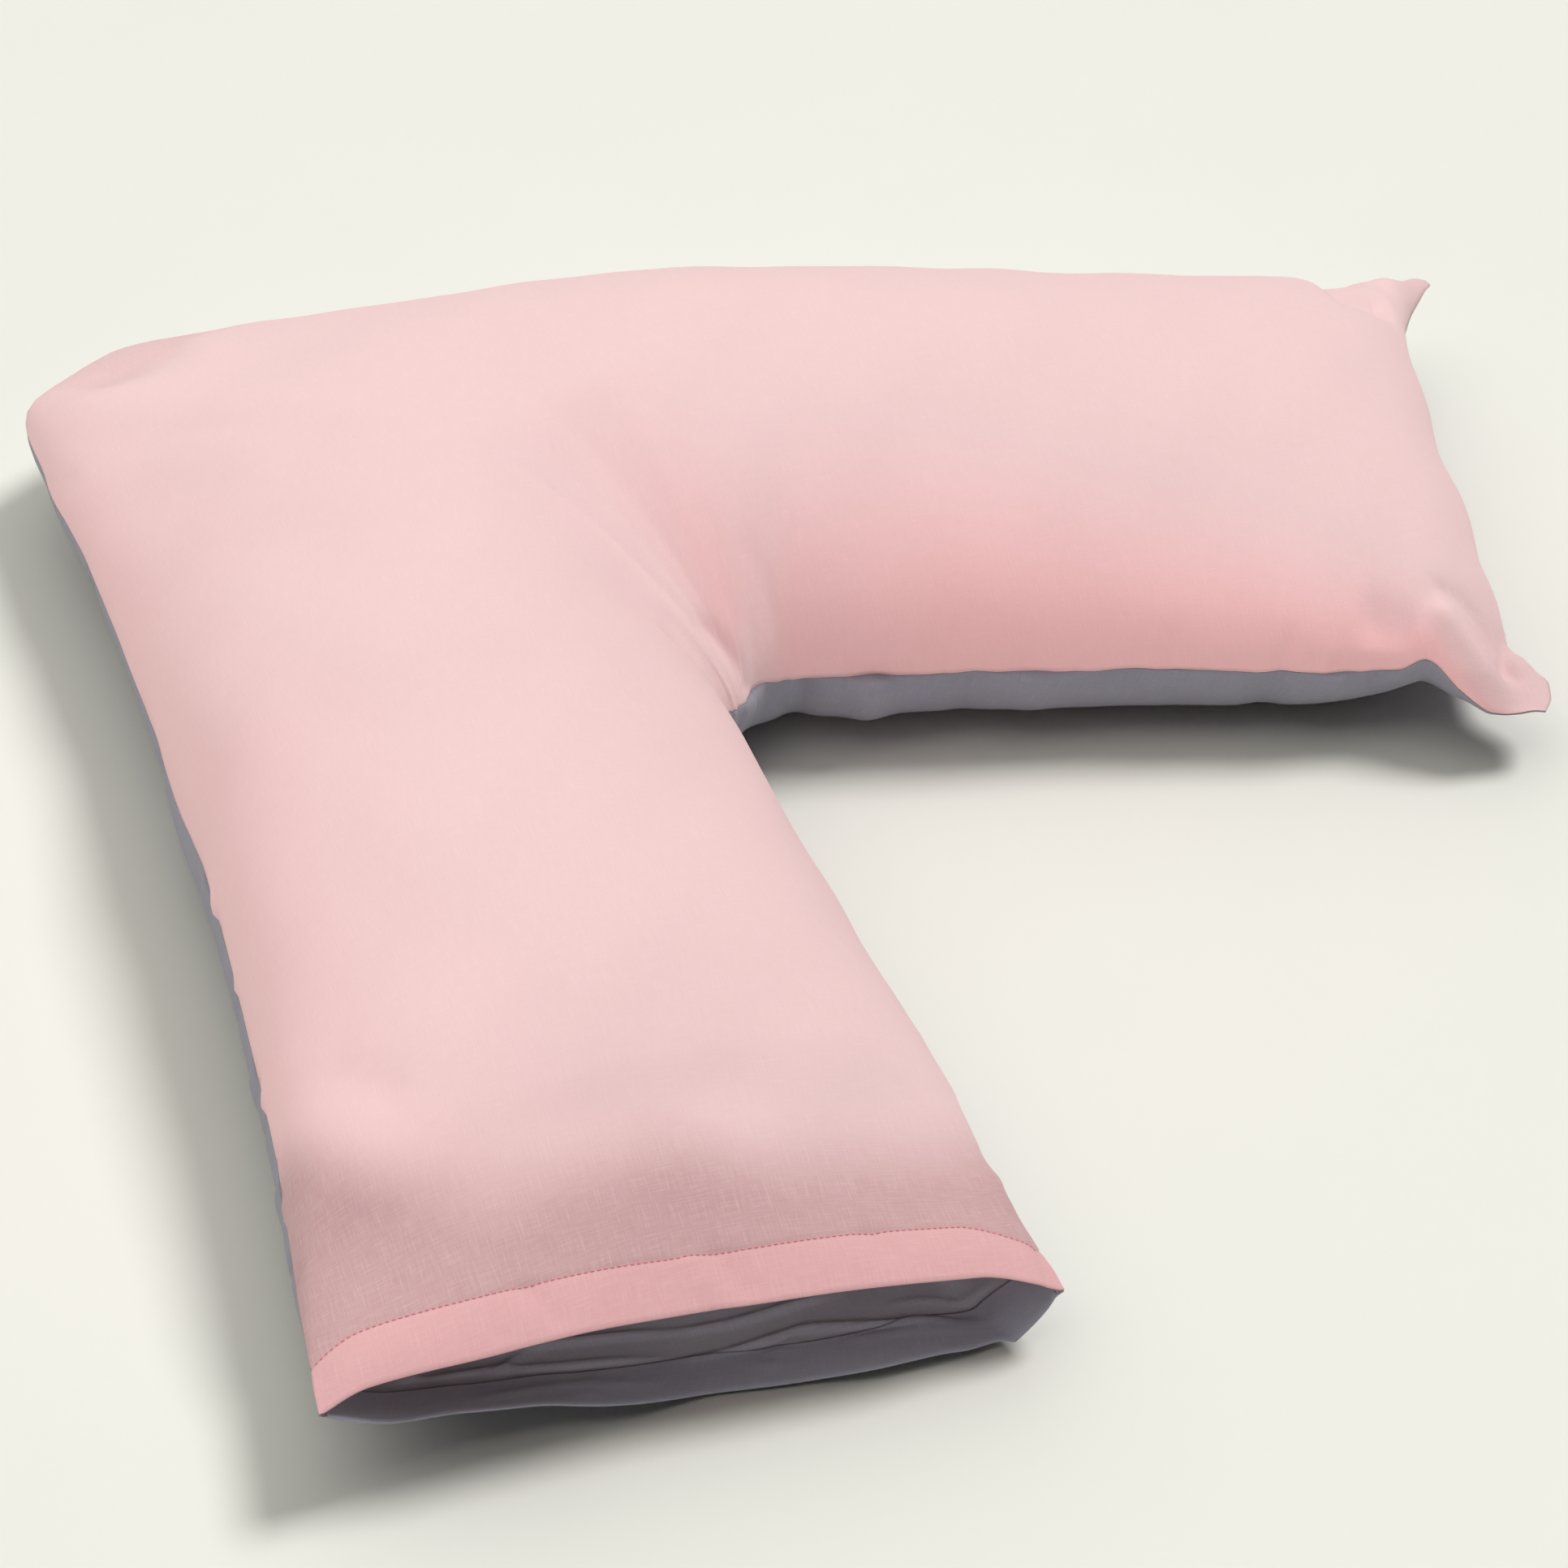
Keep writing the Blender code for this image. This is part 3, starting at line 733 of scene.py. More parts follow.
def crease_heights(points, creases):
    """How far the creases lift or lower the cloth at some points."""
    heights = np.zeros(points.shape[:-1])
    for crease in creases:
        along, out = np.array(crease.points).T
        line = np.stack(plan_point(SQUARE * crease.leg, along, out), -1)
        passed = run_along(line)
        nearest = np.full(heights.shape, 1.0)
        place = np.zeros(heights.shape)
        for i, run in enumerate(np.diff(passed)):
            step = line[i + 1] - line[i]
            offset = points[..., :2] - line[i]
            share = np.clip(offset @ step / (run * run), 0.0, 1.0)
            apart = np.linalg.norm(offset - share[..., None] * step, axis=-1)
            closer = apart < nearest
            nearest = np.where(closer, apart, nearest)
            place = np.where(closer, passed[i] + share * run, place)
        place = place / passed[-1]
        fade = smoothstep(np.minimum(place, 1.0 - place) / CREASE_FADE)
        heights += crease.height * fade * np.exp(-((nearest / crease.half_width) ** 2))
    return heights


def arc_lengths(points):
    """Distance of each point over the cloth from the inner seam, and from the outer one."""
    run = np.linalg.norm(np.diff(points, axis=1), axis=-1)
    passed = np.concatenate([np.zeros_like(run[:, :1]), np.cumsum(run, axis=1)], axis=1)
    return passed, passed[:, -1:] - passed


def gather_heights(points, from_seam, gathers, inner):
    """How far the gathers at the inner or the outer seam lift or lower the cloth. They start
    just inside the seam, and narrow and fade along their length."""
    heights = np.zeros(points.shape[:-1])
    for gather in gathers:
        along, out = leg_place(gather.leg, points)
        near = out < LEG_MIDDLE if inner else out > LEG_MIDDLE
        share = from_seam / gather.length
        fade = smoothstep(from_seam / GATHER_START) * (1.0 - smoothstep(share)) * near
        half_width = gather.half_width * (1.0 - GATHER_NARROWS * np.clip(share, 0.0, 1.0))
        apart = (along - gather.along) / half_width
        heights += gather.height * fade * np.exp(-(apart**2))
    return heights


def wave_heights(waves, place):
    """Sum of some waves, at some places along them."""
    turns = 2.0 * math.pi * place
    return sum(wave.height * np.sin(turns / wave.length + wave.start) for wave in waves)


def swell_heights(points):
    """Long low waves of the stuffed cloth."""
    heights = np.zeros(points.shape[:-1])
    for swell in SWELLS:
        turn = math.radians(swell.turn)
        place = points[..., 0] * math.cos(turn) + points[..., 1] * math.sin(turn)
        heights += wave_heights([swell], place)
    return heights


def outward(points, side):
    """Unit normals of a grid of points; side is 1 for the top panel and -1 for the bottom."""
    along = np.gradient(points, axis=0)
    across = np.gradient(points, axis=1)
    normal = np.cross(along, across) * side
    return normal / np.maximum(np.linalg.norm(normal, axis=-1, keepdims=True), 1e-9)


def flat_places(points, facts):
    """Each point's place on the flat cut cloth, out from and down along the mouth leg."""
    chord = facts.chord
    passed, left = arc_lengths(points)
    flat_out = (chord.inner + chord.outer + passed - left) / 2.0
    along, out = leg_place(MOUTH, np.stack(plan_point(chord.turn, facts.along, flat_out), -1))
    return np.stack([out, along], -1)


def lit_fill_behind(facts):
    """How closely the filled pillow lies under the top panel, 1 on it and 0 over nothing. Where
    it is less than 1 the finish paints mauve: painted shade of the empty inside, seen through
    the thin cloth.
    """
    chord, out, ear = facts.chord, facts.out, ear_reach(facts.chord)
    past_fill = facts.along - read_line(FILL_END, facts.across)
    in_mouth = np.where(chord.turn >= SQUARE, smoothstep(past_fill / FILL_FADE), 0.0)
    past_ear = (out - (chord.outer - 1.1 * ear)) / EAR_FADE
    in_ear = EAR_SHOWS * smoothstep(past_ear) * smoothstep((ear - EAR_LEAST) / EAR_FADE)
    in_ear = in_ear * smoothstep((EAR_SHOWS_FROM - chord.turn) / EAR_SHOWS_OVER)
    from_end = distance_to_end(chord)
    corners = np.zeros_like(out)
    for distance, reach in ((facts.across, INNER_EMPTY), (1.0 - facts.across, OUTER_EMPTY)):
        apart = np.hypot(from_end, distance * (chord.outer - chord.inner))
        corners = np.maximum(corners, CORNER_SHOWS * smoothstep(1.5 - 1.5 * apart / reach))
    return 1.0 - np.maximum(np.maximum(in_mouth, in_ear), corners)


def lift_lips(points, facts, rows, side):
    """Lift both lips at their outer tip, the lower one off the floor and the upper one over
    it, and lean the lower one's inner end in."""
    chord = facts.chord
    down = 1.0 - smoothstep(rows[:, None] / LIP_STRETCH)
    lift = TIP_LIFT * down * smoothstep((facts.across - TIP_FROM) / (1.0 - TIP_FROM))
    tuck = np.zeros_like(lift)
    if side > 0:
        lift = lift + down * read_line(OVERHANG, facts.across)
    else:
        seam = blend(chord.inner_height, chord.outer_height, facts.across)
        free = down * np.clip(1.0 - points[..., 2] / seam, 0.0, 1.0)
        lift = lift + free * read_line(LIP_LIFT, facts.across)
        tuck = free * LIP_TUCK * (1.0 - smoothstep(facts.across / LIP_TUCK_OVER))
    rise = np.array([-LEG_X * LIP_FORWARD, -LEG_Y * LIP_FORWARD, 1.0])
    out = np.array([-LEG_Y, LEG_X, 0.0])
    return points + lift[..., None] * rise + tuck[..., None] * out


def shaded_slope(points, facts, side):
    """Painted shade: how much deeper pink is painted on the slopes that face -X, away from the
    key lamp, most of all on the closed leg. It changes slowly along the V."""
    chord = facts.chord
    on_closed_leg = blend(SHADED_SLOPE_AT_APEX, 1.0, smoothstep(chord.along / SHADED_SLOPE_REACH))
    most = np.where(chord.turn < 0.0, on_closed_leg, SHADED_SLOPE_ON_MOUTH_LEG)
    slope_tint = most * smoothstep((-outward(points, side)[..., 0] - SHADED_SLOPE_FROM) / SHADED_SLOPE_OVER)
    ends = ((SHADED_SLOPE_ROWS // 2, SHADED_SLOPE_ROWS // 2), (0, 0))
    passed = np.cumsum(np.pad(slope_tint, ends, mode="edge"), axis=0)
    passed = np.concatenate([np.zeros_like(passed[:1]), passed])
    return (passed[SHADED_SLOPE_ROWS:] - passed[:-SHADED_SLOPE_ROWS]) / SHADED_SLOPE_ROWS


def make_panel(side, settings):
    """One panel with its folds, creases and turned hem: points, flat places, the masks that
    its finish reads, and the row of its mouth edge."""
    cloth = settings.cloth_thickness
    rows = fine_rows()
    at = level_rows(rows, STEPS, side)
    points, facts = panel_points(at, STEPS, side, cloth)
    flat = flat_places(points, facts)
    # Painted shade: how much deeper pink the slopes facing away from the key lamp get
    slope_tint = shaded_slope(points, facts, side)
    points = lift_lips(points, facts, rows, side)
    from_inner, from_outer = arc_lengths(points)
    from_seam = np.minimum(from_inner, from_outer)
    on_floor = points[..., 2] <= cloth * 1.01

    # Where the panels lie on each other they fold together
    other, _ = panel_points(at, STEPS, -side, cloth)
    together = np.exp(-(((points[..., 2] - other[..., 2]) / TOGETHER) ** 2))
    lift = crease_heights(points, CORNER_FOLDS)
    points[..., 2] += lift if side > 0 else lift * together
    from_end = distance_to_end(facts.chord)
    closed = smoothstep(from_seam / SEAM_PINCH) * smoothstep(from_end / SEAM_PINCH)
    off_mouth = smoothstep(rows[:, None] / LEVEL_TO)
    wander = wave_heights(SEAM_WAVES, at) * np.exp(-from_seam / SEAM_REACH)
    points[..., 2] += np.where(on_floor, 0.0, wander)

    # The hem: a double band along the mouth, held down by its stitch row
    width = settings.hem_width
    from_edge = rows[:, None] + np.zeros_like(from_seam)
    hem = smoothstep((width - from_edge) / HEM_FADE)
    stitched = np.exp(-(((from_edge - width) / HEM_DIP_REACH) ** 2))
    puffed = hem * np.sin(np.clip(from_edge / width, 0.0, 1.0) * math.pi) ** 2
    relief = HEM_PUFF * puffed - HEM_DIP * stitched

    if side > 0:
        creases = crease_heights(points, TOP_CREASES) * smoothstep(from_seam / SEAM_FREE)
        relief = relief + creases + swell_heights(points) * closed * off_mouth
        inner_gathers, outer_gathers = TOP_INNER_GATHERS, TOP_OUTER_GATHERS
    else:
        relief = relief * BOTTOM_HEM_RELIEF - crease_heights(points, BOTTOM_CREASES)
        inner_gathers, outer_gathers = BOTTOM_INNER_GATHERS, BOTTOM_OUTER_GATHERS
    relief = relief + gather_heights(points, from_inner, inner_gathers, True)
    relief = relief + gather_heights(points, from_outer, outer_gathers, False)
    wall = closed * smoothstep((points[..., 2] - cloth) / TOGETHER)
    relief = relief + (SOLID_CLOTH - cloth) * wall
    points = points + outward(points, side) * relief[..., None]
    points[..., 2] += side * SEAM_GAP / 2.0
    points[..., 2] = np.maximum(points[..., 2], cloth)

    # Two masks paint shade: mauve over the empty inside, and deeper pink on shaded slopes
    masks = {"hem": hem, "lit_fill_behind": lit_fill_behind(facts), "shaded_slope": slope_tint} if side > 0 else {}
    return turn_hem(points, flat, masks, rows, side, width)


def turn_hem(points, flat, masks, rows, side, width):
    """Turn a panel's mouth edge in: a second layer under the first, up to the stitch row."""
    count = int(np.searchsorted(rows, width + 1e-6))
    folded = points[:count]
    passed, left = arc_lengths(folded)
    total = passed + left
    narrowed = HEM_SHORT + passed * (1.0 - 2.0 * HEM_SHORT / total)
    layer = np.empty_like(folded)
    for i in range(count):
        for axis in range(3):
            layer[i, :, axis] = np.interp(narrowed[i], passed[i], folded[i, :, axis])
    layer -= outward(points, side)[:count] * HEM_GAP
    forward = points[0] - points[1]
    forward /= np.linalg.norm(forward, axis=-1, keepdims=True)
    lip = (points[0] + layer[0]) / 2.0 + forward * HEM_GAP / 2.0
    turned = np.concatenate([layer[::-1], lip[None], points])
    turned_flat = np.concatenate([2.0 * flat[:1] - flat[:count][::-1], flat[:1], flat])
    turned_masks = {
        name: np.concatenate([np.broadcast_to(mask[:1], mask[: count + 1].shape), mask])
        for name, mask in masks.items()
    }
    return turned, turned_flat, turned_masks, count + 1


def grid_mesh(name, points, side, flat, masks):
    """A mesh of a grid of points, with its flat pattern as UV map and masks by vertex."""
    rows, columns = points.shape[:2]
    index = np.arange(rows * columns).reshape(rows, columns)
    quads = np.stack([index[:-1, :-1], index[1:, :-1], index[1:, 1:], index[:-1, 1:]], -1)
    quads = quads.reshape(-1, 4)[:, ::side]
    mesh = bpy.data.meshes.new(name)
    mesh.from_pydata(points.reshape(-1, 3).tolist(), [], quads.tolist())
    add_flat_pattern(mesh, flat)
    for mask_name, values in masks.items():
        add_mask(mesh, mask_name, np.broadcast_to(values, points.shape[:2]))
    mesh.validate()
    mesh.shade_smooth()
    return mesh


def add_mask(mesh, name, values):
    """Keep a value from 0 to 1 for each vertex, for the mesh's finish to read."""
    mask = mesh.attributes.new(name, "FLOAT", "POINT")
    mask.data.foreach_set("value", values.ravel().astype(np.float32))


def add_flat_pattern(mesh, flat):
    """Keep each vertex's place on the flat cloth, in metres, as the mesh's UV map."""
    pattern = mesh.uv_layers.new(name="Flat pattern")
    corners = np.empty(len(mesh.loops), dtype=np.int32)
    mesh.loops.foreach_get("vertex_index", corners)
    pattern.data.foreach_set("uv", flat.reshape(-1, 2)[corners].ravel())


def add_node(tree, kind, inputs=None, **settings):
    """Add one node with its settings, and set or link its inputs by name or number."""
    node = tree.nodes.new(kind)
    for key, value in settings.items():
        setattr(node, key, value)
    for key, value in (inputs or {}).items():
        if isinstance(value, bpy.types.NodeSocket):
            tree.links.new(value, node.inputs[key])
        else:
            node.inputs[key].default_value = value
    return node


def combine(tree, operation, first, second):
    """One sum, product or other combination of two numbers or sockets."""
    return add_node(tree, "ShaderNodeMath", {0: first, 1: second}, operation=operation).outputs[0]


def mix_colours(tree, factor, first, second):
    """Mix two colours, each a socket or a linear colour, by a factor."""
    pair = [c if isinstance(c, bpy.types.NodeSocket) else (*c, 1.0) for c in (first, second)]
    inputs = {0: factor, 6: pair[0], 7: pair[1]}
    return add_node(tree, "ShaderNodeMix", inputs, data_type="RGBA").outputs[2]


def thread_colours(tree, light, settings, name):
    """The colour of one finish, from its darker to its lighter threads."""
    lighter = getattr(settings, name)
    dark, pale = (linear(text) for text in THREADS[name])
    darker = [colour * d / p for colour, d, p in zip(lighter, dark, pale)]
    return mix_colours(tree, light, darker, lighter)


def stretch_range(tree, value, low, high):
    """Map the values between two bounds to 0 and 1."""
    inputs = {"Value": value, "From Min": low, "From Max": high, "To Min": 0.0, "To Max": 1.0}
    return add_node(tree, "ShaderNodeMapRange", inputs).outputs["Result"]


def new_material(name):
    """A node material, with its tree and its Principled shader."""
    material = bpy.data.materials.new(name)
    material.use_nodes = True
    tree = material.node_tree
    return material, tree, tree.nodes["Principled BSDF"]


def mix_by_mask(tree, name, first, second):
    """Mix two colours by a mask that the mesh keeps by vertex."""
    mask = add_node(tree, "ShaderNodeAttribute", attribute_name=name)
    return mix_colours(tree, mask.outputs["Fac"], first, second)


def cotton_threads(tree, settings):
    """Threads of a plain weave on its flat pattern: how light they are, and their height.

    Slubs are the thick places of hand-spun looking yarn. They run both ways, each a few
    threads wide and centimetres long, and only the thickest ones catch the eye."""
    pattern = add_node(tree, "ShaderNodeUVMap", uv_map="Flat pattern").outputs["UV"]
    fine, long = 1.0 / settings.slub_width, 1.0 / settings.slub_length
    slubs, threads = [], []
    for scale in ((fine, long, 1.0), (long, fine, 1.0)):
        placed = add_node(tree, "ShaderNodeMapping", {"Vector": pattern, "Scale": scale})
        inputs = {"Vector": placed.outputs["Vector"], "Scale": 1.0, "Roughness": 0.6}
        slub = add_node(tree, "ShaderNodeTexNoise", inputs, noise_dimensions="2D")
        slubs.append(slub.outputs["Fac"])
    for direction in ("X", "Y"):
        # The real weave has a thread every 0.35 mm, too fine to show, so it is drawn coarser
        inputs = {"Vector": pattern, "Scale": BAND_PERIOD / settings.weave_pitch}
        inputs.update({"Distortion": 0.8, "Detail": 1.0, "Detail Scale": 0.3})
        band = add_node(tree, "ShaderNodeTexWave", inputs, bands_direction=direction)
        threads.append(band.outputs["Fac"])
    # The yarn across the mouth leg is the evener one
    slubs[1] = combine(tree, "SUBTRACT", slubs[1], EVENER_YARN)
    both = combine(tree, "ADD", slubs[0], slubs[1])
    weave = combine(tree, "ADD", threads[0], threads[1])
    weave = combine(tree, "MULTIPLY", weave, WEAVE_HEIGHT)
    thick = combine(tree, "MAXIMUM", slubs[0], slubs[1])
    bright = combine(tree, "MULTIPLY", stretch_range(tree, thick, *THICK_RANGE), THICK_LIGHT)
    even = stretch_range(tree, both, *EVEN_RANGE)
    even = combine(tree, "MULTIPLY", even, 1.0 - THICK_LIGHT)
    light = combine(tree, "ADD", bright, even)
    return light, combine(tree, "ADD", both, weave)


def add_relief(tree, shader, height, strength, depth):
    """Give a surface its fine relief."""
    inputs = {"Height": height, "Strength": strength, "Distance": depth}
    bump = add_node(tree, "ShaderNodeBump", inputs)
    tree.links.new(bump.outputs["Normal"], shader.inputs["Normal"])


def cotton_surface(tree, shader, colour, height, settings):
    """Matt cotton: its colour, the nap's soft sheen and the threads' relief."""
    tree.links.new(colour, shader.inputs["Base Color"])
    shader.inputs["Roughness"].default_value = 0.92
    shader.inputs["Specular IOR Level"].default_value = 0.2
    shader.inputs["Sheen Weight"].default_value = 0.10
    shader.inputs["Sheen Roughness"].default_value = 0.6
    add_relief(tree, shader, height, settings.relief, 0.0005)


def pink_cotton(settings):
    """Thin plain-woven cotton, dyed pale pink: the fill shows through as a paler field, and
    where there is none the cloth is painted mauve, as painted shade of the empty inside seen
    through it, and its slubs stand out. Slopes that face -X, away from the key lamp, are
    painted a deeper pink: painted shade that stands in for light glowing through the cloth
    on its shaded side. The turned hem is two layers thick and pinker."""
    material, tree, shader = new_material("Thin slubby cotton, dyed pink")
    light, height = cotton_threads(tree, settings)
    names = ("pink", "shaded_pink", "shaded_mauve", "hem_pink")
    pink, slope_tint, shaded_mauve, band = (thread_colours(tree, light, settings, name) for name in names)
    # Painted shade: deeper pink on the slopes that face away from the key lamp
    filled = mix_by_mask(tree, "shaded_slope", pink, slope_tint)
    # Painted shade: mauve where the empty inside shows through the cloth
    field = mix_by_mask(tree, "lit_fill_behind", shaded_mauve, filled)
    colour = mix_by_mask(tree, "hem", field, band)
    cotton_surface(tree, shader, colour, height, settings)
    return material


def slate_cotton(settings):
    """The same cotton dyed slate grey, deep enough to hide what is under it. Its inside face,
    which shows inside the mouth, is painted paler: painted light that stands in for the light
    reaching into the shaded mouth."""
    material, tree, shader = new_material("Thin slubby cotton, dyed slate")
    light, height = cotton_threads(tree, settings)
    right = thread_colours(tree, light, settings, "slate")
    lit_inside = thread_colours(tree, light, settings, "lit_slate_inside")
    # Painted light: the inside face is paler, to light the shaded inside of the mouth
    colour = mix_by_mask(tree, "outside face", lit_inside, right)
    cotton_surface(tree, shader, colour, height, settings)
    return material


def white_ticking(settings):
    """Close-woven bleached cotton of the filled pillow's own bag."""
    material, tree, shader = new_material("Bleached cotton ticking")
    light, height = cotton_threads(tree, settings)
    colour = thread_colours(tree, light, settings, "ticking")
    cotton_surface(tree, shader, colour, height, settings)
    return material


def sewing_thread(settings):
    """Spun polyester thread, dyed to match the hem: a little shinier than the cotton, with
    the light and dark of its twist."""
    material, tree, shader = new_material("Spun polyester thread, dyed pink")
    place = add_node(tree, "ShaderNodeTexCoord").outputs["Object"]
    noise = add_node(tree, "ShaderNodeTexNoise", {"Vector": place, "Scale": 900.0, "Detail": 1.0})
    colour = thread_colours(tree, noise.outputs["Fac"], settings, "sewing_pink")
    tree.links.new(colour, shader.inputs["Base Color"])
    shader.inputs["Roughness"].default_value = 0.6
    return material


def painted_floor(stage):
    """Matt painted studio floor, nearly white, with the fine grain of a roller."""
    material, tree, shader = new_material("Matt floor paint")
    place = add_node(tree, "ShaderNodeTexCoord").outputs["Object"]
    noise = add_node(tree, "ShaderNodeTexNoise", {"Vector": place, "Scale": 9.0, "Detail": 6.0})
    tone = tuple(stage.floor_colour)
    colour = mix_colours(tree, noise.outputs["Fac"], tuple(0.975 * c for c in tone), tone)
    tree.links.new(colour, shader.inputs["Base Color"])
    shader.inputs["Roughness"].default_value = 0.75
    fine = add_node(tree, "ShaderNodeTexNoise", {"Vector": place, "Scale": 160.0, "Detail": 3.0})
    add_relief(tree, shader, fine.outputs["Fac"], 0.10, 0.001)
    return material


def add_piece(name, mesh, material, nodes=()):
    """Put a finished mesh in the scene as a piece that rides on the part."""
    mesh.materials.append(material)
    piece = bpy.data.objects.new(name, mesh)
    bpy.context.scene.collection.objects.link(piece)
    bpy.data.collections[FLAGGED].objects.link(piece)
    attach(piece, "root")
    if nodes:
        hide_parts(*nodes)
    return piece


def thicken(piece, thickness):
    """Give a sheet its thickness, outwards from its inside face, and apply it. Its first
    vertices are then those of its outside face, and a mask keeps them, so that the slate
    finish can paint the other face paler, as painted light."""
    count = len(piece.data.vertices)
    cloth = piece.modifiers.new("Cloth thickness", "SOLIDIFY")
    cloth.thickness = thickness
    cloth.offset = 1.0
    with bpy.context.temp_override(object=piece, active_object=piece):
        bpy.ops.object.modifier_apply(modifier=cloth.name)
    add_mask(piece.data, "outside face", np.arange(len(piece.data.vertices)) < count)


def pillow_rings():
    """Closed rings of points round the filled pillow, one for each chord."""
    length = section_places()[-1]
    first, last = FILL_FROM_MOUTH, length - FILL_FROM_END
    count = round((last - first) / PILLOW_PITCH)
    even = np.linspace(0.0, 1.0, count + 1)
    eased = blend(even, 0.5 - 0.5 * np.cos(math.pi * even), BAG_EASE)
    at = (first + BAG_CLOSE + (last - first - 2.0 * BAG_CLOSE) * eased)[:, None]
    chord = sections_at(at)
    mouth_end = quarter_round(at - first, FILL_ROUNDING_MOUTH)
    closed_end = quarter_round(last - at, FILL_ROUNDING_END)
    room = quarter_round(distance_to_end(chord), END_ROUNDING)
    height = FILL * mouth_end * closed_end / room
    width = FILL - FILL_PAST_EAR * ear_reach(chord) / (chord.outer - chord.inner)
    width = width - FILL_NARROWING * (1.0 - mouth_end * closed_end) ** BAG_NARROWING_POWER
    grids = [panel_points(at, PILLOW_STEPS, side, SOLID_CLOTH)[0] for side in (1, -1)]
    middle = (grids[0][:, :1] + grids[0][:, -1:]) / 2.0
    middle[..., 2] = FILL_MIDDLE * grids[0][..., 2].max(axis=1)[:, None]
    shrink = np.stack([width, width, height], -1)
    top, bottom = (middle + (grid - middle) * shrink for grid in grids)
    top[..., 2] += np.minimum(crease_heights(top, (*CORNER_FOLDS, *TOP_CREASES)), 0.0)
    ring = np.concatenate([top, bottom[:, -2:0:-1]], axis=1)

    # Gathers along the bag's own seam, which runs round its edge
    swing = np.sin(np.linspace(0.0, math.pi, PILLOW_STEPS + 1))
    from_edge = np.concatenate([swing, swing[-2:0:-1]])[None]
    gathers = wave_heights(BAG_GATHERS, at) * np.exp(-((from_edge / BAG_GATHER_REACH) ** 2))
    away = ring - ring.mean(axis=1, keepdims=True)
    away /= np.maximum(np.linalg.norm(away, axis=-1, keepdims=True), 1e-6)
    return ring + away * (gathers - BAG_CLEAR)[..., None]


def tube_mesh(name, vertices):
    """A mesh of closed tubes, from their vertices by tube, ring and place round the ring:
    quads along them, and a cap on each end."""
    index = np.arange(vertices[..., 0].size).reshape(vertices.shape[:3])
    around = np.roll(index, -1, axis=2)
    sides = [index[:, :-1], around[:, :-1], around[:, 1:], index[:, 1:]]
    faces = [*np.stack(sides, -1).reshape(-1, 4).tolist(), *index[:, 0, ::-1].tolist()]
    faces += index[:, -1].tolist()
    mesh = bpy.data.meshes.new(name)
    mesh.from_pydata(vertices.reshape(-1, 3).tolist(), [], faces)
    mesh.validate()
    mesh.shade_smooth()
    return mesh


def stitch_mesh(points, normals, pitch):
    """Short rounded stitches of thread, end to end along a line on the cloth."""
    passed = run_along(points)
    starts = np.arange(pitch, passed[-1] - pitch, pitch)
    step = np.linspace(0.0, 1.0, STITCH_RINGS)
    places = starts[:, None] + pitch * STITCH_SHARE * step
    line, over = (
        np.stack([np.interp(places, passed, grid[:, axis]) for axis in range(3)], -1)
        for grid in (points, normals)
    )
    forward = np.gradient(line, axis=1)
    forward /= np.linalg.norm(forward, axis=-1, keepdims=True)
    sideways = np.cross(over, forward)
    arch = np.sin(math.pi * step)[:, None]
    size = STITCH_RADIUS * blend(STITCH_TIP, 1.0, np.sqrt(np.abs(arch)))
    middle = line + over * STITCH_RADIUS * (STITCH_ARCH * arch - STITCH_SINK)
    angle = np.linspace(0.0, 2.0 * math.pi, STITCH_SIDES, endpoint=False)[:, None]
    ring = np.cos(angle) * sideways[:, :, None] + np.sin(angle) * over[:, :, None]
    return tube_mesh("hem_stitches", middle[:, :, None] + size[:, None] * ring)


def aim(place, target):
    """Matrix of a lamp at a place that points at a target."""
    turn = (Vector(target) - Vector(place)).to_track_quat("-Z", "Y")
    return Matrix.Translation(place) @ turn.to_matrix().to_4x4()


def add_lamp(name, place, strength, softness, colour):
    """Add a soft distant lamp that shines from a place towards the middle of the part."""
    lamp = bpy.data.lights.new(name, "SUN")
    lamp.energy = strength
    lamp.angle = softness
    lamp.color = colour
    holder = bpy.data.objects.new(name, lamp)
    holder.matrix_world = aim(place, (0.0, 0.0, 0.05))
    bpy.context.scene.collection.objects.link(holder)
    return holder


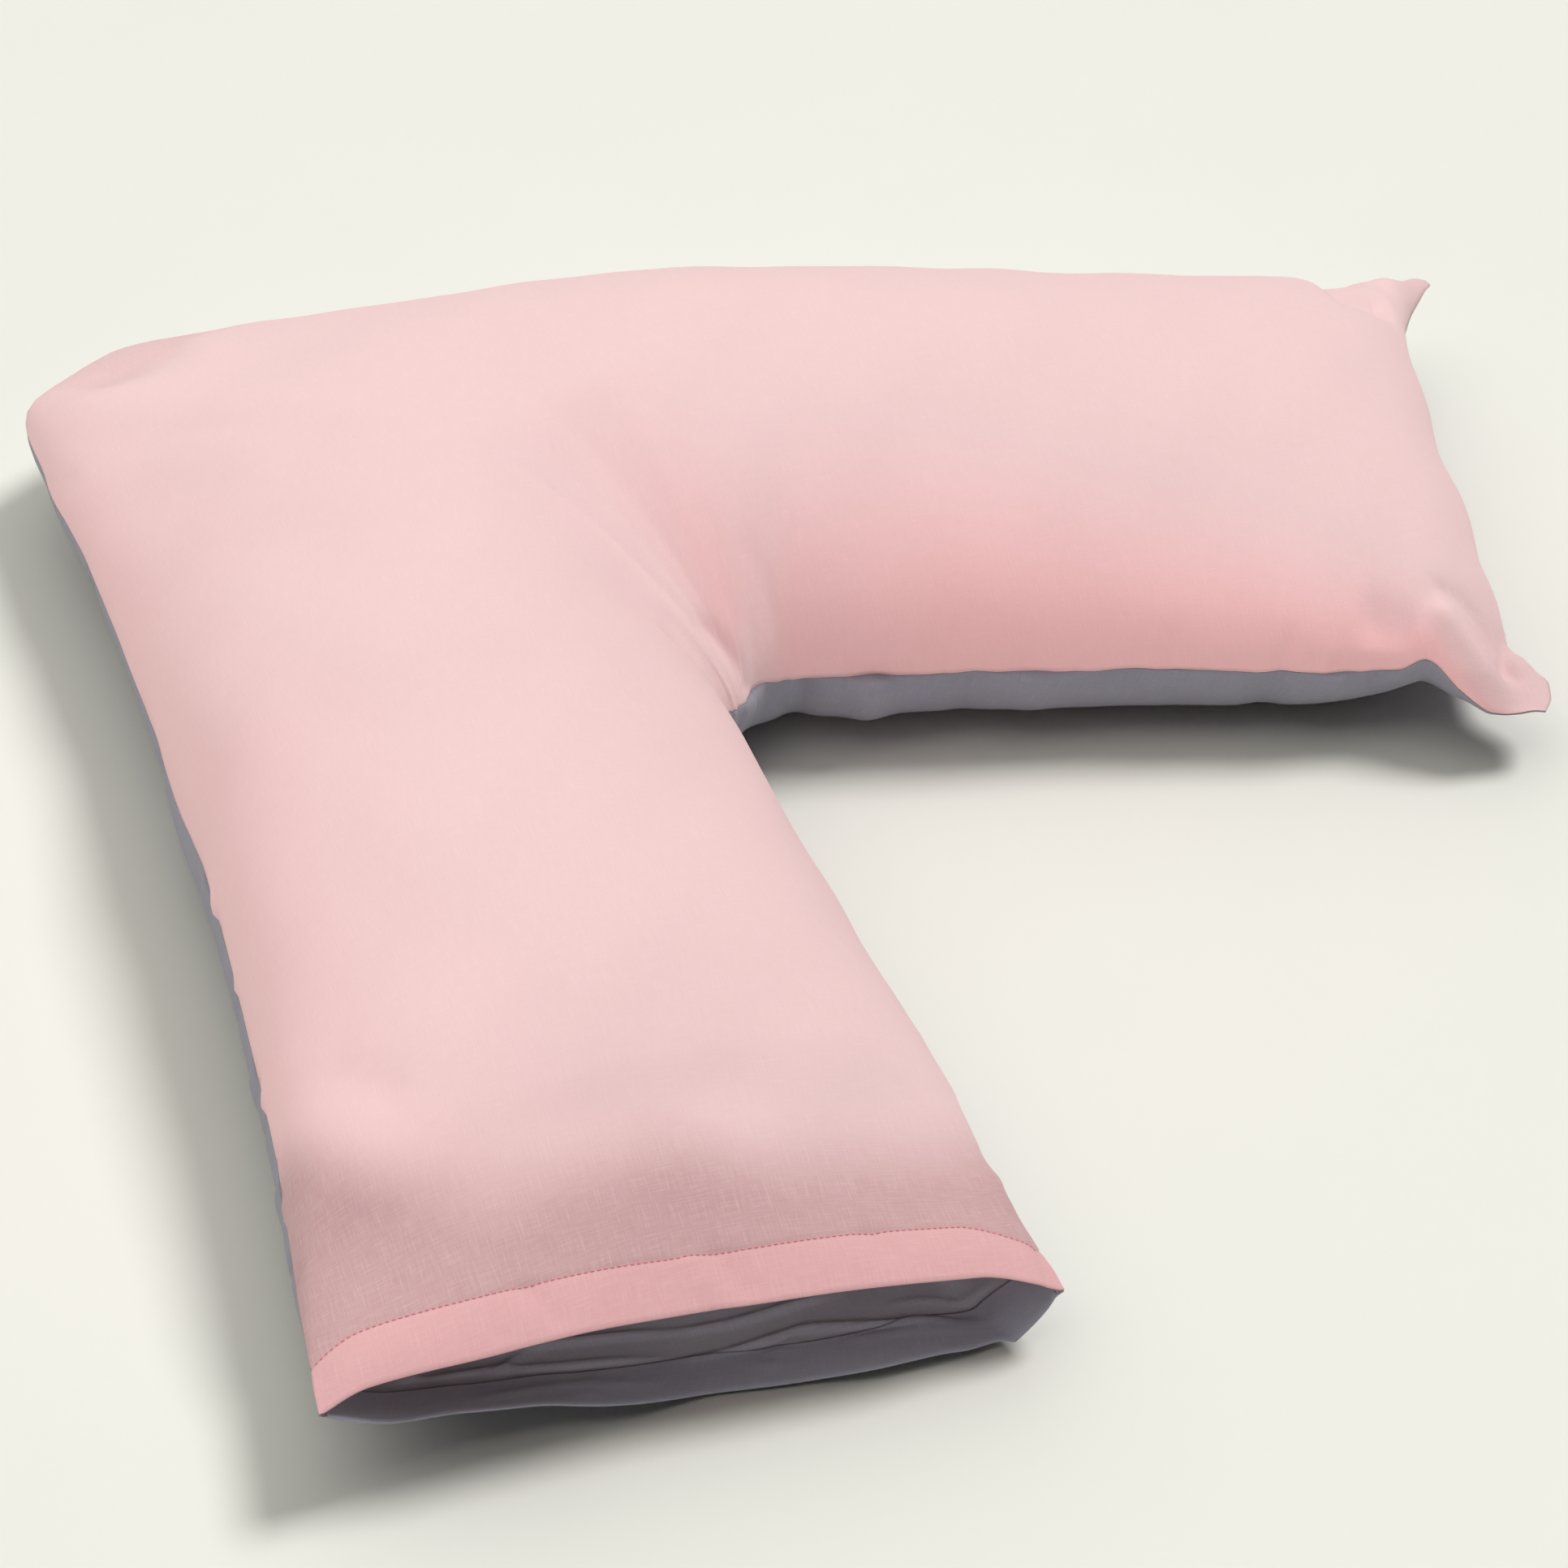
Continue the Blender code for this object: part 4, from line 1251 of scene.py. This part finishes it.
class PillowSettings(PropertyGroup):
    """Sizes and colours of the pillow and its case that a user would change."""

    cloth_thickness: FloatProperty(
        name="Cloth thickness", description="Thickness of the case's cloth", default=0.0006,
        min=0.0003, max=0.002, subtype="DISTANCE", unit="LENGTH",
    )
    hem_width: FloatProperty(
        name="Hem width", description="Width of the turned hem at the mouth, to its stitch row",
        default=0.024, min=0.0208, max=0.0272, subtype="DISTANCE", unit="LENGTH",
    )
    stitch_length: FloatProperty(
        name="Stitch length", description="Pitch of the stitches along the hem", default=0.0033,
        min=0.002, max=0.006, subtype="DISTANCE", unit="LENGTH",
    )
    slub_width: FloatProperty(
        name="Slub width", description="Width of the thick places in the threads",
        default=0.0007, min=0.0003, max=0.005, subtype="DISTANCE", unit="LENGTH",
    )
    slub_length: FloatProperty(
        name="Slub length", description="Length of the thick places in the threads",
        default=0.014, min=0.005, max=0.1, subtype="DISTANCE", unit="LENGTH",
    )
    weave_pitch: FloatProperty(
        name="Weave pitch", description="Distance between threads, drawn coarser than real",
        default=0.0010, min=0.0003, max=0.005, subtype="DISTANCE", unit="LENGTH",
    )
    relief: FloatProperty(
        name="Thread relief", description="How strongly the threads stand out", default=0.14,
        min=0.0, max=1.0, subtype="FACTOR",
    )
    pink: FloatVectorProperty(
        name="Pink", description="Top panel over the fill",
        default=linear(THREADS["pink"][1]), min=0.0, max=1.0, subtype="COLOR",
    )
    # Painted shade on the slopes that face away from the key lamp
    shaded_pink: FloatVectorProperty(
        name="Shaded pink", description="Top panel on slopes facing away from the key lamp, painted shade",
        default=linear(THREADS["shaded_pink"][1]), min=0.0, max=1.0, subtype="COLOR",
    )
    # Painted shade of the empty inside, seen through the cloth
    shaded_mauve: FloatVectorProperty(
        name="Mauve", description="Top panel with nothing under it",
        default=linear(THREADS["shaded_mauve"][1]), min=0.0, max=1.0, subtype="COLOR",
    )
    hem_pink: FloatVectorProperty(
        name="Hem pink", description="Turned hem of the top panel",
        default=linear(THREADS["hem_pink"][1]), min=0.0, max=1.0, subtype="COLOR",
    )
    slate: FloatVectorProperty(
        name="Slate", description="Bottom panel, outside face",
        default=linear(THREADS["slate"][1]), min=0.0, max=1.0, subtype="COLOR",
    )
    # Painted light on the inside face, seen in the shaded mouth
    lit_slate_inside: FloatVectorProperty(
        name="Slate inside, painted light", description="Bottom panel, inside the mouth",
        default=linear(THREADS["lit_slate_inside"][1]), min=0.0, max=1.0, subtype="COLOR",
    )
    ticking: FloatVectorProperty(
        name="Ticking", description="Bag of the filled pillow",
        default=linear(THREADS["ticking"][1]), min=0.0, max=1.0, subtype="COLOR",
    )
    sewing_pink: FloatVectorProperty(
        name="Sewing pink", description="Thread of the hem's stitches",
        default=linear(THREADS["sewing_pink"][1]), min=0.0, max=1.0, subtype="COLOR",
    )


class StageSettings(PropertyGroup):
    """Floor, light and camera."""

    floor_colour: FloatVectorProperty(
        name="Floor colour", description="Colour of the studio floor", default=linear("F8F8F2"),
        min=0.0, max=1.0, subtype="COLOR",
    )
    key_strength: FloatProperty(
        name="Key strength", description="Strength of the soft lamp high on the right",
        default=1.84, min=0.0,
    )
    key_softness: FloatProperty(
        name="Key softness", description="Angle that the key lamp fills, seen from the pillow",
        default=math.radians(20.0), min=0.0, max=math.pi, subtype="ANGLE", unit="ROTATION",
    )
    top_strength: FloatProperty(
        name="Top strength",
        description="Strength of the very broad lamp above, which opens the shadows",
        default=1.52, min=0.0,
    )
    top_softness: FloatProperty(
        name="Top softness", description="Angle that the top lamp fills, seen from the pillow",
        default=math.radians(97.0), min=0.0, max=math.pi, subtype="ANGLE", unit="ROTATION",
    )
    side_strength: FloatProperty(
        name="Side strength",
        description="Strength of the broad lamp on the left, which lights the slopes",
        default=0.80, min=0.0,
    )
    side_softness: FloatProperty(
        name="Side softness", description="Angle that the side lamp fills, seen from the pillow",
        default=math.radians(50.0), min=0.0, max=math.pi, subtype="ANGLE", unit="ROTATION",
    )
    front_strength: FloatProperty(
        name="Front strength",
        description="Strength of the lamp in front, which lights the walls and the mouth",
        default=0.98, min=0.0,
    )
    front_softness: FloatProperty(
        name="Front softness",
        description="Angle that the front lamp fills, seen from the pillow",
        default=math.radians(25.0), min=0.0, max=math.pi, subtype="ANGLE", unit="ROTATION",
    )
    sky_strength: FloatProperty(
        name="Surround strength", description="Strength of the pale light from all round",
        default=0.045, min=0.0,
    )
    floor_size: FloatProperty(
        name="Floor size", description="Half the side of the floor", default=7.0, min=1.0,
        subtype="DISTANCE", unit="LENGTH",
    )
    floor_cells: IntProperty(
        name="Floor cells", description="Divisions of each side of the floor", default=8, min=1,
    )


class PILLOW_OT_filled(Operator):
    """Build the filled pillow inside the case"""

    bl_idname = "pillow.filled"
    bl_label = "Filled pillow"

    def execute(self, context):
        rings = pillow_rings()[::-1]
        mesh = tube_mesh("inner_pillow_bag", rings[None])
        add_flat_pattern(mesh, rings[..., :2])
        material = white_ticking(context.scene.pillow)
        bag = add_piece("inner_pillow_bag", mesh, material, ["inner_pillow"])
        return {"FINISHED"}


class PILLOW_OT_case(Operator):
    """Build the two panels of the slip case, with folds, turned hems and weave"""

    bl_idname = "pillow.case"
    bl_label = "Slip case"

    def execute(self, context):
        settings = context.scene.pillow
        panels = (
            ("top_panel", 1, pink_cotton, "pink_cotton", "stretched", "inner_pillow_bag"),
            ("bottom_panel", -1, slate_cotton, "slate_cotton", "laid", "floor"),
        )
        for node, side, finish, slot, held, under in panels:
            points, flat, masks, _ = make_panel(side, settings)
            mesh = grid_mesh(node + "_cloth", points, side, flat, masks)
            piece = add_piece(mesh.name, mesh, finish(settings), [node])
            thicken(piece, settings.cloth_thickness)
        return {"FINISHED"}


class PILLOW_OT_stitches(Operator):
    """Sew the stitch row of the hem at the mouth"""

    bl_idname = "pillow.stitches"
    bl_label = "Hem stitches"

    def execute(self, context):
        settings = context.scene.pillow
        points, _, _, edge_row = make_panel(1, settings)
        row = 2 * (edge_row - 1)
        normals = outward(points[edge_row:], 1)[row - edge_row]
        line = points[row] + normals * settings.cloth_thickness
        mesh = stitch_mesh(line, normals, settings.stitch_length)
        add_piece("hem_stitches", mesh, sewing_thread(settings))
        return {"FINISHED"}


class PILLOW_OT_stage(Operator):
    """Build the floor, the soft light and the camera"""

    bl_idname = "pillow.stage"
    bl_label = "Stage"

    def execute(self, context):
        stage = context.scene.pillow_stage
        bpy.data.collections.new(FLAGGED)
        line = np.linspace(-stage.floor_size, stage.floor_size, stage.floor_cells + 1)
        plan = np.stack(np.meshgrid(line, line, indexing="ij"), -1)
        level = np.concatenate([plan, np.zeros_like(plan[..., :1])], -1)
        mesh = grid_mesh("floor", level, 1, plan, {})
        mesh.materials.append(painted_floor(stage))
        floor = bpy.data.objects.new("floor", mesh)
        context.scene.collection.objects.link(floor)

        add_lamp("Key lamp", KEY_PLACE, stage.key_strength, stage.key_softness, KEY_COLOUR)
        add_lamp("Top lamp", TOP_PLACE, stage.top_strength, stage.top_softness, TOP_COLOUR)
        flagged = (
            ("Side lamp", SIDE_PLACE, stage.side_strength, stage.side_softness),
            ("Front lamp", FRONT_PLACE, stage.front_strength, stage.front_softness),
        )
        for name, place, strength, softness in flagged:
            # Kept off the floor, so that the shadows at the part's foot stay deep
            holder = add_lamp(name, place, strength, softness, FRONT_COLOUR)
            holder.light_linking.receiver_collection = bpy.data.collections[FLAGGED]
        world = bpy.data.worlds.new("Pale studio")
        world.use_nodes = True
        background = world.node_tree.nodes["Background"]
        background.inputs["Color"].default_value = (*SKY_COLOUR, 1.0)
        background.inputs["Strength"].default_value = stage.sky_strength
        context.scene.world = world
        context.scene.view_settings.view_transform = "Standard"

        camera = bpy.data.cameras.new("Camera")
        camera.lens = LENS
        camera.sensor_width = SENSOR
        camera.clip_end = 50.0
        eye = bpy.data.objects.new("Camera", camera)
        eye.location = CAMERA_PLACE
        eye.rotation_euler = (math.pi / 2.0 - CAMERA_PITCH, 0.0, CAMERA_TURN)
        context.scene.collection.objects.link(eye)
        context.scene.camera = eye
        return {"FINISHED"}


class PILLOW_PT_panel(Panel):
    """Lists the pillow's sizes and what builds it"""

    bl_idname = "PILLOW_PT_panel"
    bl_label = "V-shaped pillow"
    bl_space_type = "VIEW_3D"
    bl_region_type = "UI"
    bl_category = "Pillow"

    def draw(self, context):
        for group in (context.scene.pillow, context.scene.pillow_stage):
            for name in group.bl_rna.properties.keys():
                if name not in ("rna_type", "name"):
                    self.layout.prop(group, name)
        for operator in OPERATORS:
            self.layout.operator(operator.bl_idname)


OPERATORS = (PILLOW_OT_filled, PILLOW_OT_case, PILLOW_OT_stitches, PILLOW_OT_stage)
CLASSES = (PillowSettings, StageSettings, *OPERATORS, PILLOW_PT_panel)


def register():
    """Register the classes and their settings."""
    for item in CLASSES:
        bpy.utils.register_class(item)
    bpy.types.Scene.pillow = PointerProperty(type=PillowSettings)
    bpy.types.Scene.pillow_stage = PointerProperty(type=StageSettings)


def unregister():
    """Take the classes and their settings away again."""
    del bpy.types.Scene.pillow_stage
    del bpy.types.Scene.pillow
    for item in reversed(CLASSES):
        bpy.utils.unregister_class(item)


def main():
    register()
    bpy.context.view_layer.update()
    bpy.ops.pillow.stage()
    bpy.ops.pillow.filled()
    bpy.ops.pillow.case()
    bpy.ops.pillow.stitches()


if __name__ == "__main__":
    main()
